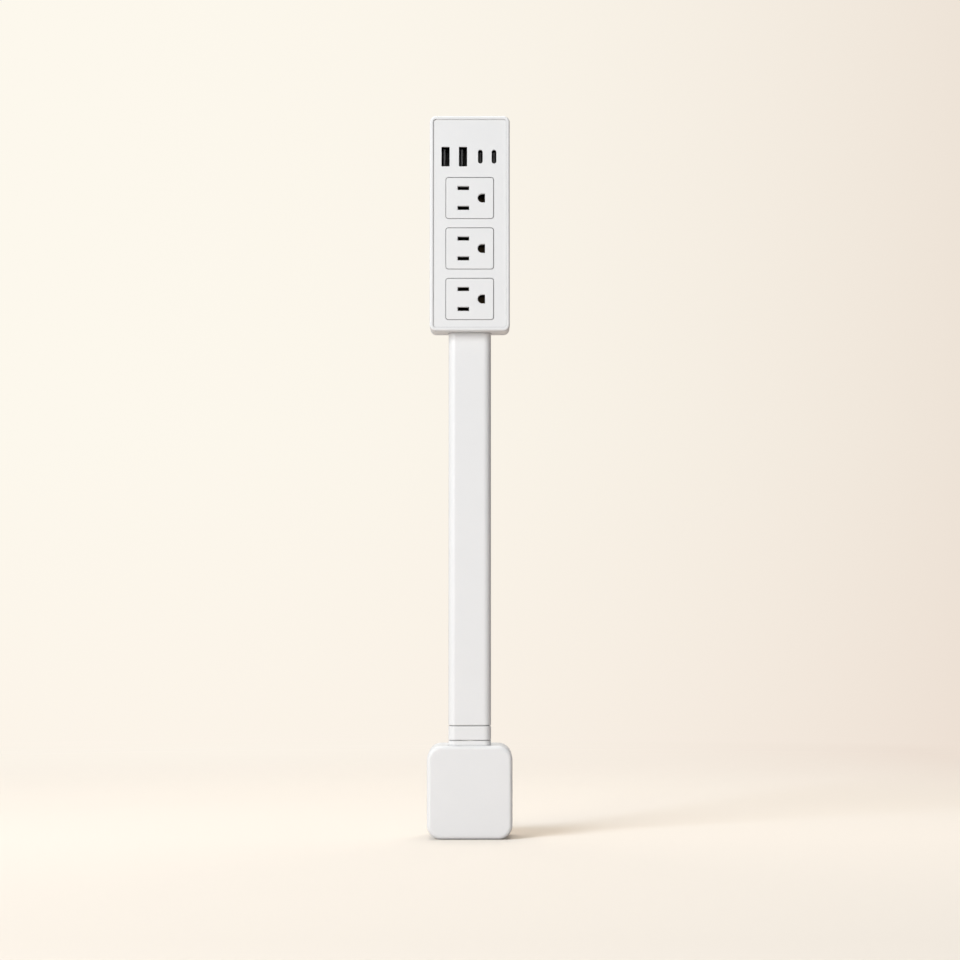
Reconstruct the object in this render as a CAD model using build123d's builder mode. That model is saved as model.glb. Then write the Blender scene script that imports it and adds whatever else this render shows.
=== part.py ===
from build123d import *
import os
from math import cos, radians, sin, tan

# Wall outlet extender: a square plug base, a tall stem that swivels on it, and a head with three
# outlets and a row of four USB ports.
# Millimetres. X is to the right seen from the front, Y goes back to the wall and Z is up. The origin
# is the middle of the base's rear face, which lies against the wall at Y = 0.

# Clearances
slip = 0.15  # between moulded pieces that go into each other
close_fit = 0.05  # round metal pieces held in a moulding
running_fit = 0.05  # round the spindle in its bush
turning_gap = 0.3  # between the collar that turns and the base
seam_chamfer = 0.4  # on each edge that meets at a seam

# Base
base_width = 54.0
base_height = 58.8
base_depth = 38.0
base_corner = 9.0
base_wall = 2.0
base_edge = 2.6
base_cover_depth = 5.0
base_cover_plate = 2.5
base_cover_edge = 0.6
base_screw_across = 19.0
base_screw_up = 21.8
base_boss_radius = 3.2
base_boss_length = 3.2

# Neck: where the stem's axis stands before the wall, and the boss that carries it
neck_setback = 28.0
boss_height = 3.1
collar_height = 8.8
spigot_height = 18.0
spigot_wall = 1.6
spindle_radius = 4.8
spindle_bore_radius = 3.6
spindle_flat = 4.4
spindle_reach = 14.5
bush_wall = 0.95
bush_flange_radius = 7.6
bush_flange_thickness = 1.2
thrust_washer_radius = 6.6
thrust_washer_thickness = 0.25
spring_washer_thickness = 0.6
spring_washer_radius = 7.2
stop_washer_thickness = 1.2
stop_washer_radius = 7.0
stop_lug_reach = 10.2
stop_lug_width = 4.0
stop_post_width = 2.8
stop_post_depth = 2.5
nut_across_flats = 12.5
nut_height = 4.0
swivel_limit = 90.0

# Stem
stem_width = 27.0
stem_depth = 14.0
stem_corner = 4.6
stem_wall = 1.6
stem_bore_corner = 2.2
stem_length = 249.3
stem_seat_rise = 0.5  # of the land on the collar that carries the stem
stem_seat_inset = 1.1
stem_entry = 9.0
stem_flange_rise = 2.1
stem_flange_thickness = 2.2
stem_flange_rim = 1.8
stem_screw_across = 8.0
stem_screw_rise = 9.0

# Head
head_width = 50.8
head_height = 137.2
head_depth = 28.0
head_front = 17.0  # in front of the stem's axis
head_corner = 4.0
head_wall = 2.0
rim_edge = 1.2
back_edge = 2.0
face_recess = 0.8
face_thickness = 2.0
parting_depth = 18.0
lip_height = 1.5
lip_thickness = 1.0
lip_root = 2.0
shelf_thickness = 1.5
rib_thickness = 1.5
head_boss_radius = 2.9
head_tube_radius = 3.4
head_boss_end = 16.0
head_screw_across = 19.7
head_screw_inset = 7.0
head_screw_seat = 22.0

# Outlets, with a face of their own each
outlet_names = ("top", "middle", "bottom")
top_outlet_drop = 52.45  # from the head's upper end to the top outlet's middle
bottom_outlet_rise = 20.3  # from the head's lower end to the bottom outlet's middle
outlet_gap = 3.05  # between the flanges of two faces
insert_width = 30.2
insert_corner = 1.6
window_gap = 0.3
insert_edge = 0.3
flange_rim = 1.5
flange_thickness = 1.2
blade_spacing = 12.7
slot_offset = 4.0
slot_length = 7.2
slot_height = 2.45
ground_reach = 11.9
ground_hole_radius = 2.8
ground_hole_flat = 1.8

# Contact carrier, its bars and its back plate
carrier_skin = 1.4
carrier_width = 28.0
carrier_back = 19.6
carrier_foot = 10.5  # above the head's lower end
pocket_room = 0.3
channel_room = 0.2
ear_depth = 12.0
ear_thickness = 2.0
ear_radius = 3.1
ear_across = 19.6
ear_boss_radius = 2.6
bar_front = 18.3
bar_thickness = 0.8
bar_width = 2.4
line_bar_across = 2.3
neutral_bar_across = -10.2
ground_bar_width = 4.6
bar_foot = 10.8  # above the head's lower end
bar_inset = 0.95  # below the carrier's top
clip_width = 6.0
clip_tab_height = 4.8
jaw_thickness = 0.5
jaw_root_gap = 1.75
jaw_pinch_gap = 0.95
jaw_pinch_depth = 9.6
jaw_mouth_gap = 1.9
jaw_mouth_depth = 7.0
cheek_root_gap = 2.6
cheek_pinch_gap = 2.45
cheek_pinch_depth = 10.5
cheek_mouth_gap = 3.1
cheek_mouth_depth = 8.2
insulator_thickness = 0.8
insulator_foot = 17.0  # above the head's lower end
insulator_drop = 4.5  # below the carrier's top
peg_radius = 0.8
peg_across = 12.75
peg_inset = 4.0

# USB ports and the supply that feeds them
usb_drop = 25.95
usb_a_across = (-15.4, -4.3)
usb_c_across = (6.7, 15.4)
usb_a_mouth = (5.3, 12.7)
usb_a_opening = (5.2, 12.6)
usb_a_corner = 0.4
usb_a_tongue = (1.84, 11.1)
usb_a_tongue_shift = -0.8
usb_c_mouth = (2.8, 8.7)
usb_c_opening = (3.0, 8.9)
usb_c_tongue = (0.7, 6.7)
usb_shell_wall = 0.3
usb_tongue_setback = 2.0
usb_body_depth = 2.5
board_front = 16.0
board_thickness = 1.6
board_width = 43.6
board_foot_gap = 1.45  # above the carrier
board_top_gap = 1.4
board_screw_across = 20.3
board_screw_rise = 2.6  # above the board's foot
board_screw_drop = 15.0  # below the head's upper end
board_boss_radius = 1.9
transformer_width = 15.0
transformer_tall = 13.0
transformer_height = 12.0
transformer_across = -8.0
transformer_drop = 11.1
winding_margin = 2.2
bulk_capacitor_radius = 4.0
bulk_capacitor_height = 12.0
bulk_capacitor_across = 5.0
bulk_capacitor_drop = 10.4
output_capacitor_radius = 3.15
output_capacitor_height = 8.0
output_capacitor_across = 12.8
output_capacitor_drop = 11.0
capacitor_edge = 0.4
chip_height = 1.6
fuse_radius = 1.6
fuse_length = 7.0
fuse_across = -3.0
fuse_drop = 9.5

# Chips on the board's back: place across, drop below the head's upper end, width and height
chips = ((9.5, 18.0, 6.0, 5.0), (-10.5, 18.0, 5.0, 4.0), (-1.0, 23.0, 4.0, 4.0))

# Screws: head radius, head height, shank radius and shank length
head_screw = (2.3, 1.7, 1.2, 13.0)
base_screw = (2.6, 1.8, 1.3, 12.0)
stem_screw = (2.2, 1.0, 1.2, 4.2)
carrier_screw = (2.2, 1.5, 1.1, 9.0)
board_screw = (1.65, 1.3, 0.9, 6.5)
holder_screw = (2.2, 1.5, 1.2, 6.0)
cross_width = 0.7
cross_share = 1.3  # length of the cross slot, in head radii
cross_depth = 0.8

# Plug blades, ground pin and their holder
plug_blade_thickness = 1.5
plug_blade_width = 6.35
plug_blade_length = 17.5
plug_blade_up = 5.0
plug_blade_tip = 1.2
plug_blade_hole_radius = 1.6
plug_blade_hole_reach = 11.7
plug_shoulder_width = 9.0
plug_shoulder_depth = 1.5
ground_pin_radius = 2.4
ground_pin_neck_radius = 2.2
ground_pin_neck_end = 0.3  # beyond the wall face
ground_pin_length = 20.5
ground_pin_tip = 1.8
ground_collar_radius = 3.4
tail_width = 2.4
tail_end = 13.5  # in front of the wall face
holder_width = 28.0
holder_top = 6.0  # above the blades' line
holder_foot = 5.6  # below the ground pin
holder_depth = 7.0
holder_corner = 2.0
holder_post_radius = 2.2
holder_post_length = 4.6
holder_screw_across = 9.5
crimp_wall = 0.5
crimp_length = 6.0

# Wires through the neck and stem
wire_radius = 1.45
wire_spread = 1.75  # from the spindle's axis to each wire
blade_wire_lead = 7.0  # straight out of its crimp
ground_wire_lead = 8.5
wire_entry_drop = 6.4  # below the spindle, where each wire turns up into it
wire_end_gap = 2.0  # below the insulating plate
low_share = 0.3  # of the stem's length, up to each wire's lower slack point
high_share = 0.62
entry_share = 0.1
feed_wire_radius = 0.8
feed_start_rise = 0.6  # above the insulating plate
feed_turn_rise = 1.0  # above the carrier
feed_board_rise = 5.0
feed_end_rise = 9.0
line_feed_lean = 1.0
neutral_feed_lean = 1.6
arc_share = 0.45

# Places that follow from the sizes above
neck_y = -neck_setback
base_top = base_height / 2
boss_top = base_top + boss_height
collar_foot = boss_top + turning_gap
collar_top = collar_foot + collar_height
stem_foot = collar_top + stem_seat_rise
head_foot = stem_foot + stem_length
head_middle = head_foot + head_height / 2
head_front_y = neck_y - head_front
stem_top = head_foot + stem_entry
face_back = face_recess + face_thickness
flange_back = face_back + flange_thickness
carrier_front_back = flange_back + carrier_skin
ear_back = ear_depth + ear_thickness
bar_back = bar_front + bar_thickness
board_back = board_front + board_thickness
head_inner_width = head_width - 2 * head_wall
head_inner_height = head_height - 2 * head_wall
head_inner_corner = head_corner - head_wall
base_inner_width = base_width - 2 * base_wall
base_inner_height = base_height - 2 * base_wall
base_inner_corner = base_corner - base_wall
base_ceiling = base_top - base_wall
stem_bore_width = stem_width - 2 * stem_wall
stem_bore_depth = stem_depth - 2 * stem_wall
outlet_pitch = (head_height - top_outlet_drop - bottom_outlet_rise) / (len(outlet_names) - 1)
outlet_levels = [head_height / 2 - top_outlet_drop - row * outlet_pitch for row in range(len(outlet_names))]
between_outlets = [(upper + lower) / 2 for upper, lower in zip(outlet_levels, outlet_levels[1:])]
flange_width = insert_width + 2 * flange_rim
flange_height = outlet_pitch - outlet_gap
insert_height = flange_height - 2 * flange_rim
carrier_top = outlet_levels[0] + flange_height / 2
carrier_bottom = outlet_levels[-1] - flange_height / 2
ground_across = ground_reach - slot_offset
usb_level = head_height / 2 - usb_drop
board_bottom = carrier_top + board_foot_gap
board_top = head_inner_height / 2 - board_top_gap
insulator_top = carrier_top - insulator_drop
plug_ground_up = plug_blade_up - ground_reach
bush_radius = spindle_radius + running_fit + bush_wall
bush_flange_foot = base_ceiling - bush_flange_thickness
spring_washer_top = bush_flange_foot - close_fit
stop_washer_top = spring_washer_top - spring_washer_thickness
nut_top = stop_washer_top - stop_washer_thickness
spindle_end = collar_foot - spindle_reach


def above_head_foot(height):
    """Height from the head's middle of a place given above its lower end."""
    return height - head_height / 2


def below_head_top(drop):
    """Height from the head's middle of a place given below its upper end."""
    return head_height / 2 - drop


def facing(depth, across=0.0, up=0.0):
    """Plane that faces the front, at a distance in front of the wall."""
    return Plane(origin=(across, -depth, up), x_dir=(1, 0, 0), z_dir=(0, -1, 0))


def facing_back(depth, across=0.0, up=0.0):
    """Plane that faces the wall, at a distance in front of it."""
    return Plane(origin=(across, -depth, up), x_dir=(-1, 0, 0), z_dir=(0, 1, 0))


def head_plane(depth):
    """Plane that faces the front, at a depth behind the head's rim, centred on the head."""
    return Plane(origin=(0, head_front_y + depth, head_middle), x_dir=(1, 0, 0), z_dir=(0, -1, 0))


def head_place(across, depth, level):
    """Point in the head, from its middle and from the front of its rim."""
    return (across, head_front_y + depth, head_middle + level)


def both_sides(across, levels):
    """Places left and right of the middle, at each level."""
    return [(side * across, level) for level in levels for side in (-1, 1)]


head_screw_level = below_head_top(head_screw_inset)
head_screw_places = both_sides(head_screw_across, (-head_screw_level, head_screw_level))
ear_places = both_sides(ear_across, between_outlets)
board_screw_levels = (board_bottom + board_screw_rise, below_head_top(board_screw_drop))
board_screw_places = both_sides(board_screw_across, board_screw_levels)
base_screw_places = both_sides(base_screw_across, (-base_screw_up, base_screw_up))
holder_screw_places = both_sides(holder_screw_across, (plug_ground_up,))
peg_levels = (above_head_foot(insulator_foot) + peg_inset, insulator_top - peg_inset)
peg_places = both_sides(peg_across, peg_levels)


def pan_screw(sizes):
    """Cross-recessed screw, with the underside of its head on the XY plane and its head upwards."""
    head_radius, head_rise, shank_radius, shank_length = sizes
    with BuildPart() as screw:
        with BuildSketch():
            Circle(head_radius)
        extrude(amount=head_rise)
        fillet(screw.faces().sort_by(Axis.Z)[-1].edges(), head_rise / 2)
        with BuildSketch():
            Circle(shank_radius)
        extrude(amount=-shank_length)
        with BuildSketch(Plane.XY.offset(head_rise)):
            Rectangle(cross_share * head_radius, cross_width)
            Rectangle(cross_width, cross_share * head_radius)
        extrude(amount=-cross_depth, mode=Mode.SUBTRACT)
    return screw.part


def outlet_openings(room):
    """The two blade slots one above the other and the ground hole beside them, widened by room."""
    with BuildSketch() as openings:
        with Locations((-slot_offset, blade_spacing / 2), (-slot_offset, -blade_spacing / 2)):
            Rectangle(slot_length + 2 * room, slot_height + 2 * room)
        with Locations((ground_across, 0)):
            Circle(ground_hole_radius + room)
            Rectangle(
                ground_hole_flat + room, 2 * (ground_hole_radius + room), align=(Align.MIN, Align.CENTER)
            )
        with Locations((ground_across + ground_hole_flat + room, 0)):
            Rectangle(
                ground_hole_radius, 3 * ground_hole_radius,
                align=(Align.MIN, Align.CENTER), mode=Mode.SUBTRACT,
            )
    return openings.sketch


def wire_along(points, radius):
    """Insulated wire along a route, bent at each point as gently as its two runs allow."""
    corners = [Vector(*point) for point in points]
    bends = []
    for before, corner, after in zip(corners, corners[1:], corners[2:]):
        turn = radians((corner - before).get_angle(after - corner))
        shorter = min((corner - before).length, (after - corner).length)
        bends.append(arc_share * shorter / tan(turn / 2))
    with BuildPart() as wire:
        with BuildLine():
            route = FilletPolyline(*corners, radius=bends)
        with BuildSketch(Plane(origin=route @ 0, z_dir=route % 0)):
            Circle(radius)
        sweep()
    print("wire", round(route.length, 1), "mm, tightest bend", round(min(bends), 1), "mm")
    return wire.part


stem_section = (stem_width, stem_depth, stem_corner)
stem_hole = (stem_width + 2 * slip, stem_depth + 2 * slip, stem_corner + slip)
shelf_inner = stem_width / 2 + stem_flange_rim / 4
shelf_width = head_inner_width / 2 - shelf_inner
shelf_foot = stem_flange_rise + stem_flange_thickness + slip
shelf_places = both_sides(shelf_inner + shelf_width / 2, (above_head_foot(shelf_foot + shelf_thickness / 2),))
slots = outlet_openings(0)
wider_slots = outlet_openings(close_fit)

# Head: the front shell, one piece with its rim and its recessed face
with BuildPart() as front_housing:
    with BuildSketch(head_plane(parting_depth)):
        RectangleRounded(head_width, head_height, head_corner)
    extrude(amount=parting_depth)
    fillet(front_housing.faces().sort_by(Axis.Y)[0].edges(), rim_edge)
    chamfer(front_housing.faces().sort_by(Axis.Y)[-1].edges(), seam_chamfer)
    with BuildSketch(head_plane(face_recess)):
        RectangleRounded(head_inner_width, head_inner_height, head_inner_corner)
    extrude(amount=face_recess, mode=Mode.SUBTRACT)
    with BuildSketch(head_plane(parting_depth)):
        RectangleRounded(head_inner_width, head_inner_height, head_inner_corner)
    extrude(amount=parting_depth - face_back, mode=Mode.SUBTRACT)
    with BuildSketch(head_plane(face_back)):
        with Locations(*[(0, level) for level in outlet_levels]):
            RectangleRounded(
                insert_width + 2 * window_gap, insert_height + 2 * window_gap, insert_corner + window_gap
            )
        with Locations(*[(across, usb_level) for across in usb_a_across]):
            RectangleRounded(*usb_a_opening, usb_a_corner)
        with Locations(*[(across, usb_level) for across in usb_c_across]):
            SlotOverall(usb_c_opening[1], usb_c_opening[0], rotation=90)
    extrude(amount=face_thickness, mode=Mode.SUBTRACT)
    with BuildSketch(head_plane(head_boss_end)):
        with Locations(*head_screw_places):
            Circle(head_boss_radius)
    extrude(amount=head_boss_end - face_back)
    with BuildSketch(head_plane(ear_depth)):
        with Locations(*ear_places):
            Circle(ear_boss_radius)
    extrude(amount=ear_depth - face_back)
    with BuildSketch(head_plane(board_front)):
        with Locations(*board_screw_places):
            Circle(board_boss_radius)
    extrude(amount=board_front - face_back)
    with BuildSketch(head_plane(head_boss_end)):
        with Locations(*shelf_places):
            Rectangle(shelf_width, shelf_thickness)
    extrude(amount=head_boss_end - carrier_front_back - 2 * channel_room)
    with BuildSketch(head_plane(head_boss_end)):
        with Locations(*head_screw_places):
            Circle(head_screw[2] + close_fit)
    extrude(amount=head_screw[3] - head_screw_seat + head_boss_end + slip, mode=Mode.SUBTRACT)
    with BuildSketch(head_plane(ear_depth)):
        with Locations(*ear_places):
            Circle(carrier_screw[2] + close_fit)
    extrude(amount=carrier_screw[3] - ear_thickness + slip, mode=Mode.SUBTRACT)
    with BuildSketch(head_plane(board_front)):
        with Locations(*board_screw_places):
            Circle(board_screw[2] + close_fit)
    extrude(amount=board_screw[3] - board_thickness + slip, mode=Mode.SUBTRACT)
    with BuildSketch(Plane.XY.offset(head_foot)):
        with Locations((0, neck_y)):
            RectangleRounded(*stem_hole)
    extrude(amount=head_wall, mode=Mode.SUBTRACT)

# Head: the back cover, a tray with a lip that goes into the front shell
lip_width = head_inner_width - 2 * slip
lip_tall = head_inner_height - 2 * slip
lip_inner_width = lip_width - 2 * lip_thickness
lip_inner_tall = lip_tall - 2 * lip_thickness
lip_gap_width = stem_width + 2 * stem_flange_rim + 4 * slip
rib_levels = (above_head_foot(insulator_foot) + 2 * peg_inset, insulator_top - 2 * peg_inset)
with BuildPart() as back_cover:
    with BuildSketch(head_plane(head_depth)):
        RectangleRounded(head_width, head_height, head_corner)
    extrude(amount=head_depth - parting_depth)
    fillet(back_cover.faces().sort_by(Axis.Y)[-1].edges(), back_edge)
    chamfer(back_cover.faces().sort_by(Axis.Y)[0].edges(), seam_chamfer)
    with BuildSketch(head_plane(head_depth - head_wall)):
        RectangleRounded(head_inner_width, head_inner_height, head_inner_corner)
    extrude(amount=head_depth - head_wall - parting_depth, mode=Mode.SUBTRACT)
    with BuildSketch(head_plane(parting_depth + lip_root)):
        RectangleRounded(head_inner_width, head_inner_height, head_inner_corner)
        RectangleRounded(lip_inner_width, lip_inner_tall, lip_thickness, mode=Mode.SUBTRACT)
        with Locations((0, -head_inner_height / 2)):
            Rectangle(lip_gap_width, 4 * lip_thickness, mode=Mode.SUBTRACT)
    extrude(amount=lip_root)
    with BuildSketch(head_plane(parting_depth)):
        RectangleRounded(lip_width, lip_tall, head_inner_corner - slip)
        RectangleRounded(lip_inner_width, lip_inner_tall, lip_thickness, mode=Mode.SUBTRACT)
        with Locations((0, -head_inner_height / 2)):
            Rectangle(lip_gap_width, 4 * lip_thickness, mode=Mode.SUBTRACT)
    extrude(amount=lip_height)
    with BuildSketch(head_plane(head_depth - head_wall)):
        with Locations(*head_screw_places):
            Circle(head_tube_radius)
        with Locations(*shelf_places):
            Rectangle(shelf_width - slip, shelf_thickness)
    extrude(amount=head_depth - head_wall - head_boss_end - slip)
    with BuildSketch(head_plane(head_depth - head_wall)):
        with Locations(*[(0, level) for level in rib_levels]):
            Rectangle(carrier_width - 2 * slip, rib_thickness)
    extrude(amount=head_depth - head_wall - carrier_back - insulator_thickness - slip)
    with BuildSketch(head_plane(head_depth)):
        with Locations(*head_screw_places):
            Circle(head_screw[0] + slip)
    extrude(amount=head_depth - head_screw_seat, mode=Mode.SUBTRACT)
    with BuildSketch(head_plane(head_screw_seat)):
        with Locations(*head_screw_places):
            Circle(head_screw[2] + slip)
    extrude(amount=head_screw_seat, mode=Mode.SUBTRACT)
    with BuildSketch(Plane.XY.offset(head_foot)):
        with Locations((0, neck_y)):
            RectangleRounded(*stem_hole)
    extrude(amount=head_wall, mode=Mode.SUBTRACT)

# Outlet faces: each stands flush in its window and is held by the flange behind it
receptacle_faces = {}
for outlet_name, level in zip(outlet_names, outlet_levels):
    with BuildPart() as receptacle_face:
        with BuildSketch(head_plane(face_back)):
            with Locations((0, level)):
                RectangleRounded(insert_width, insert_height, insert_corner)
        extrude(amount=face_thickness)
        with BuildSketch(head_plane(flange_back)):
            with Locations((0, level)):
                RectangleRounded(flange_width, flange_height, insert_corner)
        extrude(amount=flange_thickness)
        with BuildSketch(head_plane(flange_back)):
            with Locations((0, level)):
                add(slots)
        extrude(amount=flange_back - face_recess, mode=Mode.SUBTRACT)
        chamfer(receptacle_face.faces().sort_by(Axis.Y)[0].edges(), insert_edge)
    receptacle_faces[f"receptacle_face_{outlet_name}"] = receptacle_face.part

# Contact carrier: one dark moulding behind the three faces, with a pocket for each contact
blade_pocket = (slot_length + pocket_room, 2 * (jaw_mouth_gap + jaw_thickness + pocket_room))
ground_pocket = (
    2 * (cheek_mouth_gap + jaw_thickness / 2 + pocket_room), 2 * ground_hole_radius + 4 * pocket_room,
)
clip_left = -slot_offset - clip_width / 2
clip_right = -slot_offset + clip_width / 2
line_bar_right = line_bar_across + bar_width / 2
neutral_bar_left = neutral_bar_across - bar_width / 2
tab_channel_height = clip_tab_height + 2 * channel_room
with BuildPart() as contact_carrier:
    with BuildSketch(head_plane(carrier_front_back)):
        with Locations((0, (carrier_top + carrier_bottom) / 2)):
            Rectangle(flange_width, carrier_top - carrier_bottom)
    extrude(amount=carrier_skin)
    with BuildSketch(head_plane(carrier_back)):
        with Locations((0, carrier_top)):
            Rectangle(
                carrier_width, carrier_top - above_head_foot(carrier_foot), align=(Align.CENTER, Align.MAX)
            )
    extrude(amount=carrier_back - carrier_front_back)
    with BuildSketch(head_plane(ear_back)):
        with Locations(*ear_places):
            Circle(ear_radius)
        with Locations(*[(0, level) for level in between_outlets]):
            Rectangle(2 * ear_across, 2 * ear_radius)
    extrude(amount=ear_thickness)
    with BuildSketch(head_plane(carrier_front_back)):
        with Locations(*[(0, level) for level in outlet_levels]):
            add(wider_slots)
    extrude(amount=carrier_skin, mode=Mode.SUBTRACT)
    with BuildSketch(head_plane(carrier_back)):
        for level in outlet_levels:
            with Locations((-slot_offset, level + blade_spacing / 2)):
                Rectangle(*blade_pocket)
            with Locations((-slot_offset, level - blade_spacing / 2)):
                Rectangle(*blade_pocket)
            with Locations((ground_across, level)):
                Rectangle(*ground_pocket)
    extrude(amount=carrier_back - carrier_front_back, mode=Mode.SUBTRACT)
    with BuildSketch(head_plane(carrier_back)):
        with Locations((line_bar_across, 0), (neutral_bar_across, 0)):
            Rectangle(bar_width + 2 * channel_room, head_height)
        with Locations((ground_across, outlet_levels[0])):
            Rectangle(
                ground_bar_width + 2 * channel_room, head_height, align=(Align.CENTER, Align.MAX)
            )
        for level in outlet_levels:
            with Locations((clip_left - channel_room, level + blade_spacing / 2)):
                Rectangle(line_bar_right - clip_left, tab_channel_height, align=(Align.MIN, Align.CENTER))
            with Locations((neutral_bar_left, level - blade_spacing / 2)):
                Rectangle(clip_right - neutral_bar_left, tab_channel_height, align=(Align.MIN, Align.CENTER))
    extrude(amount=carrier_back - bar_front + channel_room / 2, mode=Mode.SUBTRACT)
    with BuildSketch(head_plane(ear_back)):
        with Locations(*ear_places):
            Circle(carrier_screw[2] + slip)
    extrude(amount=ear_thickness, mode=Mode.SUBTRACT)
    with BuildSketch(head_plane(carrier_back)):
        with Locations(*peg_places):
            Circle(peg_radius)
    extrude(amount=-insulator_thickness)

# Plate that closes the carrier's back, over its pegs
insulator_tall = insulator_top - above_head_foot(insulator_foot)
with BuildPart() as insulator_plate:
    with BuildSketch(head_plane(carrier_back + insulator_thickness)):
        with Locations((0, above_head_foot(insulator_foot) + insulator_tall / 2)):
            RectangleRounded(carrier_width, insulator_tall, insert_corner)
        with Locations(*peg_places):
            Circle(peg_radius + close_fit, mode=Mode.SUBTRACT)
    extrude(amount=insulator_thickness)


def bus_bar(across, width, foot, top):
    """Flat brass strip along the back of the carrier, from foot to top."""
    with BuildPart() as strip:
        with BuildSketch(head_plane(bar_back)):
            with Locations((across, foot)):
                Rectangle(width, top - foot, align=(Align.CENTER, Align.MIN))
        extrude(amount=bar_thickness)
    return strip.part


jaw_outline = (
    (bar_front + bar_thickness / 2, jaw_root_gap),
    ((bar_front + jaw_pinch_depth) / 2, jaw_root_gap),
    (jaw_pinch_depth, jaw_pinch_gap),
    (jaw_mouth_depth, jaw_mouth_gap),
)
cheek_outline = (
    (bar_front + bar_thickness / 2, cheek_root_gap),
    ((bar_front + cheek_pinch_depth) / 2, cheek_root_gap),
    (cheek_pinch_depth, cheek_pinch_gap),
    (cheek_mouth_depth, cheek_mouth_gap),
)
bar_bottom = above_head_foot(bar_foot)
bar_top = carrier_top - bar_inset
blade_bars = {
    "line_bus_bar": (line_bar_across, clip_left, line_bar_right, blade_spacing / 2),
    "neutral_bus_bar": (neutral_bar_across, neutral_bar_left, clip_right, -blade_spacing / 2),
}
bus_bars = {}
for bar_name, (bar_across, tab_left, tab_right, clip_rise) in blade_bars.items():
    strip = bus_bar(bar_across, bar_width, bar_bottom, bar_top)
    with BuildPart() as blade_bar:
        add(strip)
        with BuildSketch(head_plane(bar_back)):
            with Locations(*[(tab_left, level + clip_rise) for level in outlet_levels]):
                Rectangle(tab_right - tab_left, clip_tab_height, align=(Align.MIN, Align.CENTER))
        extrude(amount=bar_thickness)
        for level in outlet_levels:
            clip_origin = head_place(clip_left, 0, level + clip_rise)
            with BuildSketch(Plane(origin=clip_origin, x_dir=(0, 1, 0), z_dir=(1, 0, 0))):
                with BuildLine():
                    Polyline(*jaw_outline)
                trace(line_width=jaw_thickness)
                mirror(about=Plane.XZ)
            extrude(amount=clip_width)
    bus_bars[bar_name] = blade_bar.part

# Ground bar: its cheeks close on the round pin from left and right
ground_strip = bus_bar(ground_across, ground_bar_width, bar_bottom, outlet_levels[0] + ground_bar_width / 2)
with BuildPart() as ground_bar:
    add(ground_strip)
    for level in outlet_levels:
        cheek_origin = head_place(ground_across, 0, level - ground_bar_width / 2)
        with BuildSketch(Plane(origin=cheek_origin, x_dir=(0, 1, 0), z_dir=(0, 0, 1))):
            with BuildLine():
                Polyline(*cheek_outline)
            trace(line_width=jaw_thickness)
            mirror(about=Plane.XZ)
        extrude(amount=ground_bar_width)
        with BuildSketch(head_plane(bar_back)):
            with Locations((ground_across, level)):
                Rectangle(2 * cheek_root_gap + jaw_thickness, ground_bar_width)
        extrude(amount=bar_thickness)
bus_bars["ground_bus_bar"] = ground_bar.part

# USB sockets: a folded shell behind each opening, with a tongue in it
usb_pieces = {}
usb_sockets = [("usb_a", place + 1, across) for place, across in enumerate(usb_a_across)]
usb_sockets += [("usb_c", place + 1, across) for place, across in enumerate(usb_c_across)]
for kind, place, across in usb_sockets:
    round_ends = kind == "usb_c"
    mouth = usb_c_mouth if round_ends else usb_a_mouth
    tongue = usb_c_tongue if round_ends else usb_a_tongue
    shift = 0 if round_ends else usb_a_tongue_shift
    shell_size = (mouth[0] + 2 * usb_shell_wall, mouth[1] + 2 * usb_shell_wall)
    shell_corner = shell_size[0] / 2 - close_fit if round_ends else usb_a_corner + usb_shell_wall
    mouth_corner = mouth[0] / 2 - close_fit if round_ends else usb_a_corner
    with BuildPart() as usb_shell:
        with BuildSketch(head_plane(board_front)):
            with Locations((across, usb_level)):
                RectangleRounded(*shell_size, shell_corner)
                RectangleRounded(*mouth, mouth_corner, mode=Mode.SUBTRACT)
        extrude(amount=board_front - face_back - close_fit)
    with BuildPart() as usb_tongue:
        with BuildSketch(head_plane(board_front)):
            with Locations((across, usb_level)):
                RectangleRounded(
                    mouth[0] - 2 * close_fit, mouth[1] - 2 * close_fit, mouth_corner - close_fit
                )
        extrude(amount=usb_body_depth)
        with BuildSketch(head_plane(board_front)):
            with Locations((across + shift, usb_level)):
                Rectangle(*tongue)
        extrude(amount=board_front - face_back - usb_tongue_setback)
    usb_pieces[f"{kind}_shell_{place}"] = usb_shell.part
    usb_pieces[f"{kind}_tongue_{place}"] = usb_tongue.part

# Supply board behind the ports, notched round the upper screws
notch_side = head_screw_across - head_tube_radius - 2 * slip
notch_level = head_screw_level - head_tube_radius - 2 * slip
with BuildPart() as usb_board:
    with BuildSketch(head_plane(board_back)):
        with Locations((0, board_bottom)):
            Rectangle(board_width, board_top - board_bottom, align=(Align.CENTER, Align.MIN))
        with Locations((notch_side, notch_level)):
            Rectangle(board_width, board_width, align=(Align.MIN, Align.MIN), mode=Mode.SUBTRACT)
        with Locations((-notch_side, notch_level)):
            Rectangle(board_width, board_width, align=(Align.MAX, Align.MIN), mode=Mode.SUBTRACT)
        with Locations(*board_screw_places):
            Circle(board_screw[2] + slip, mode=Mode.SUBTRACT)
    extrude(amount=board_thickness)

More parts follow.
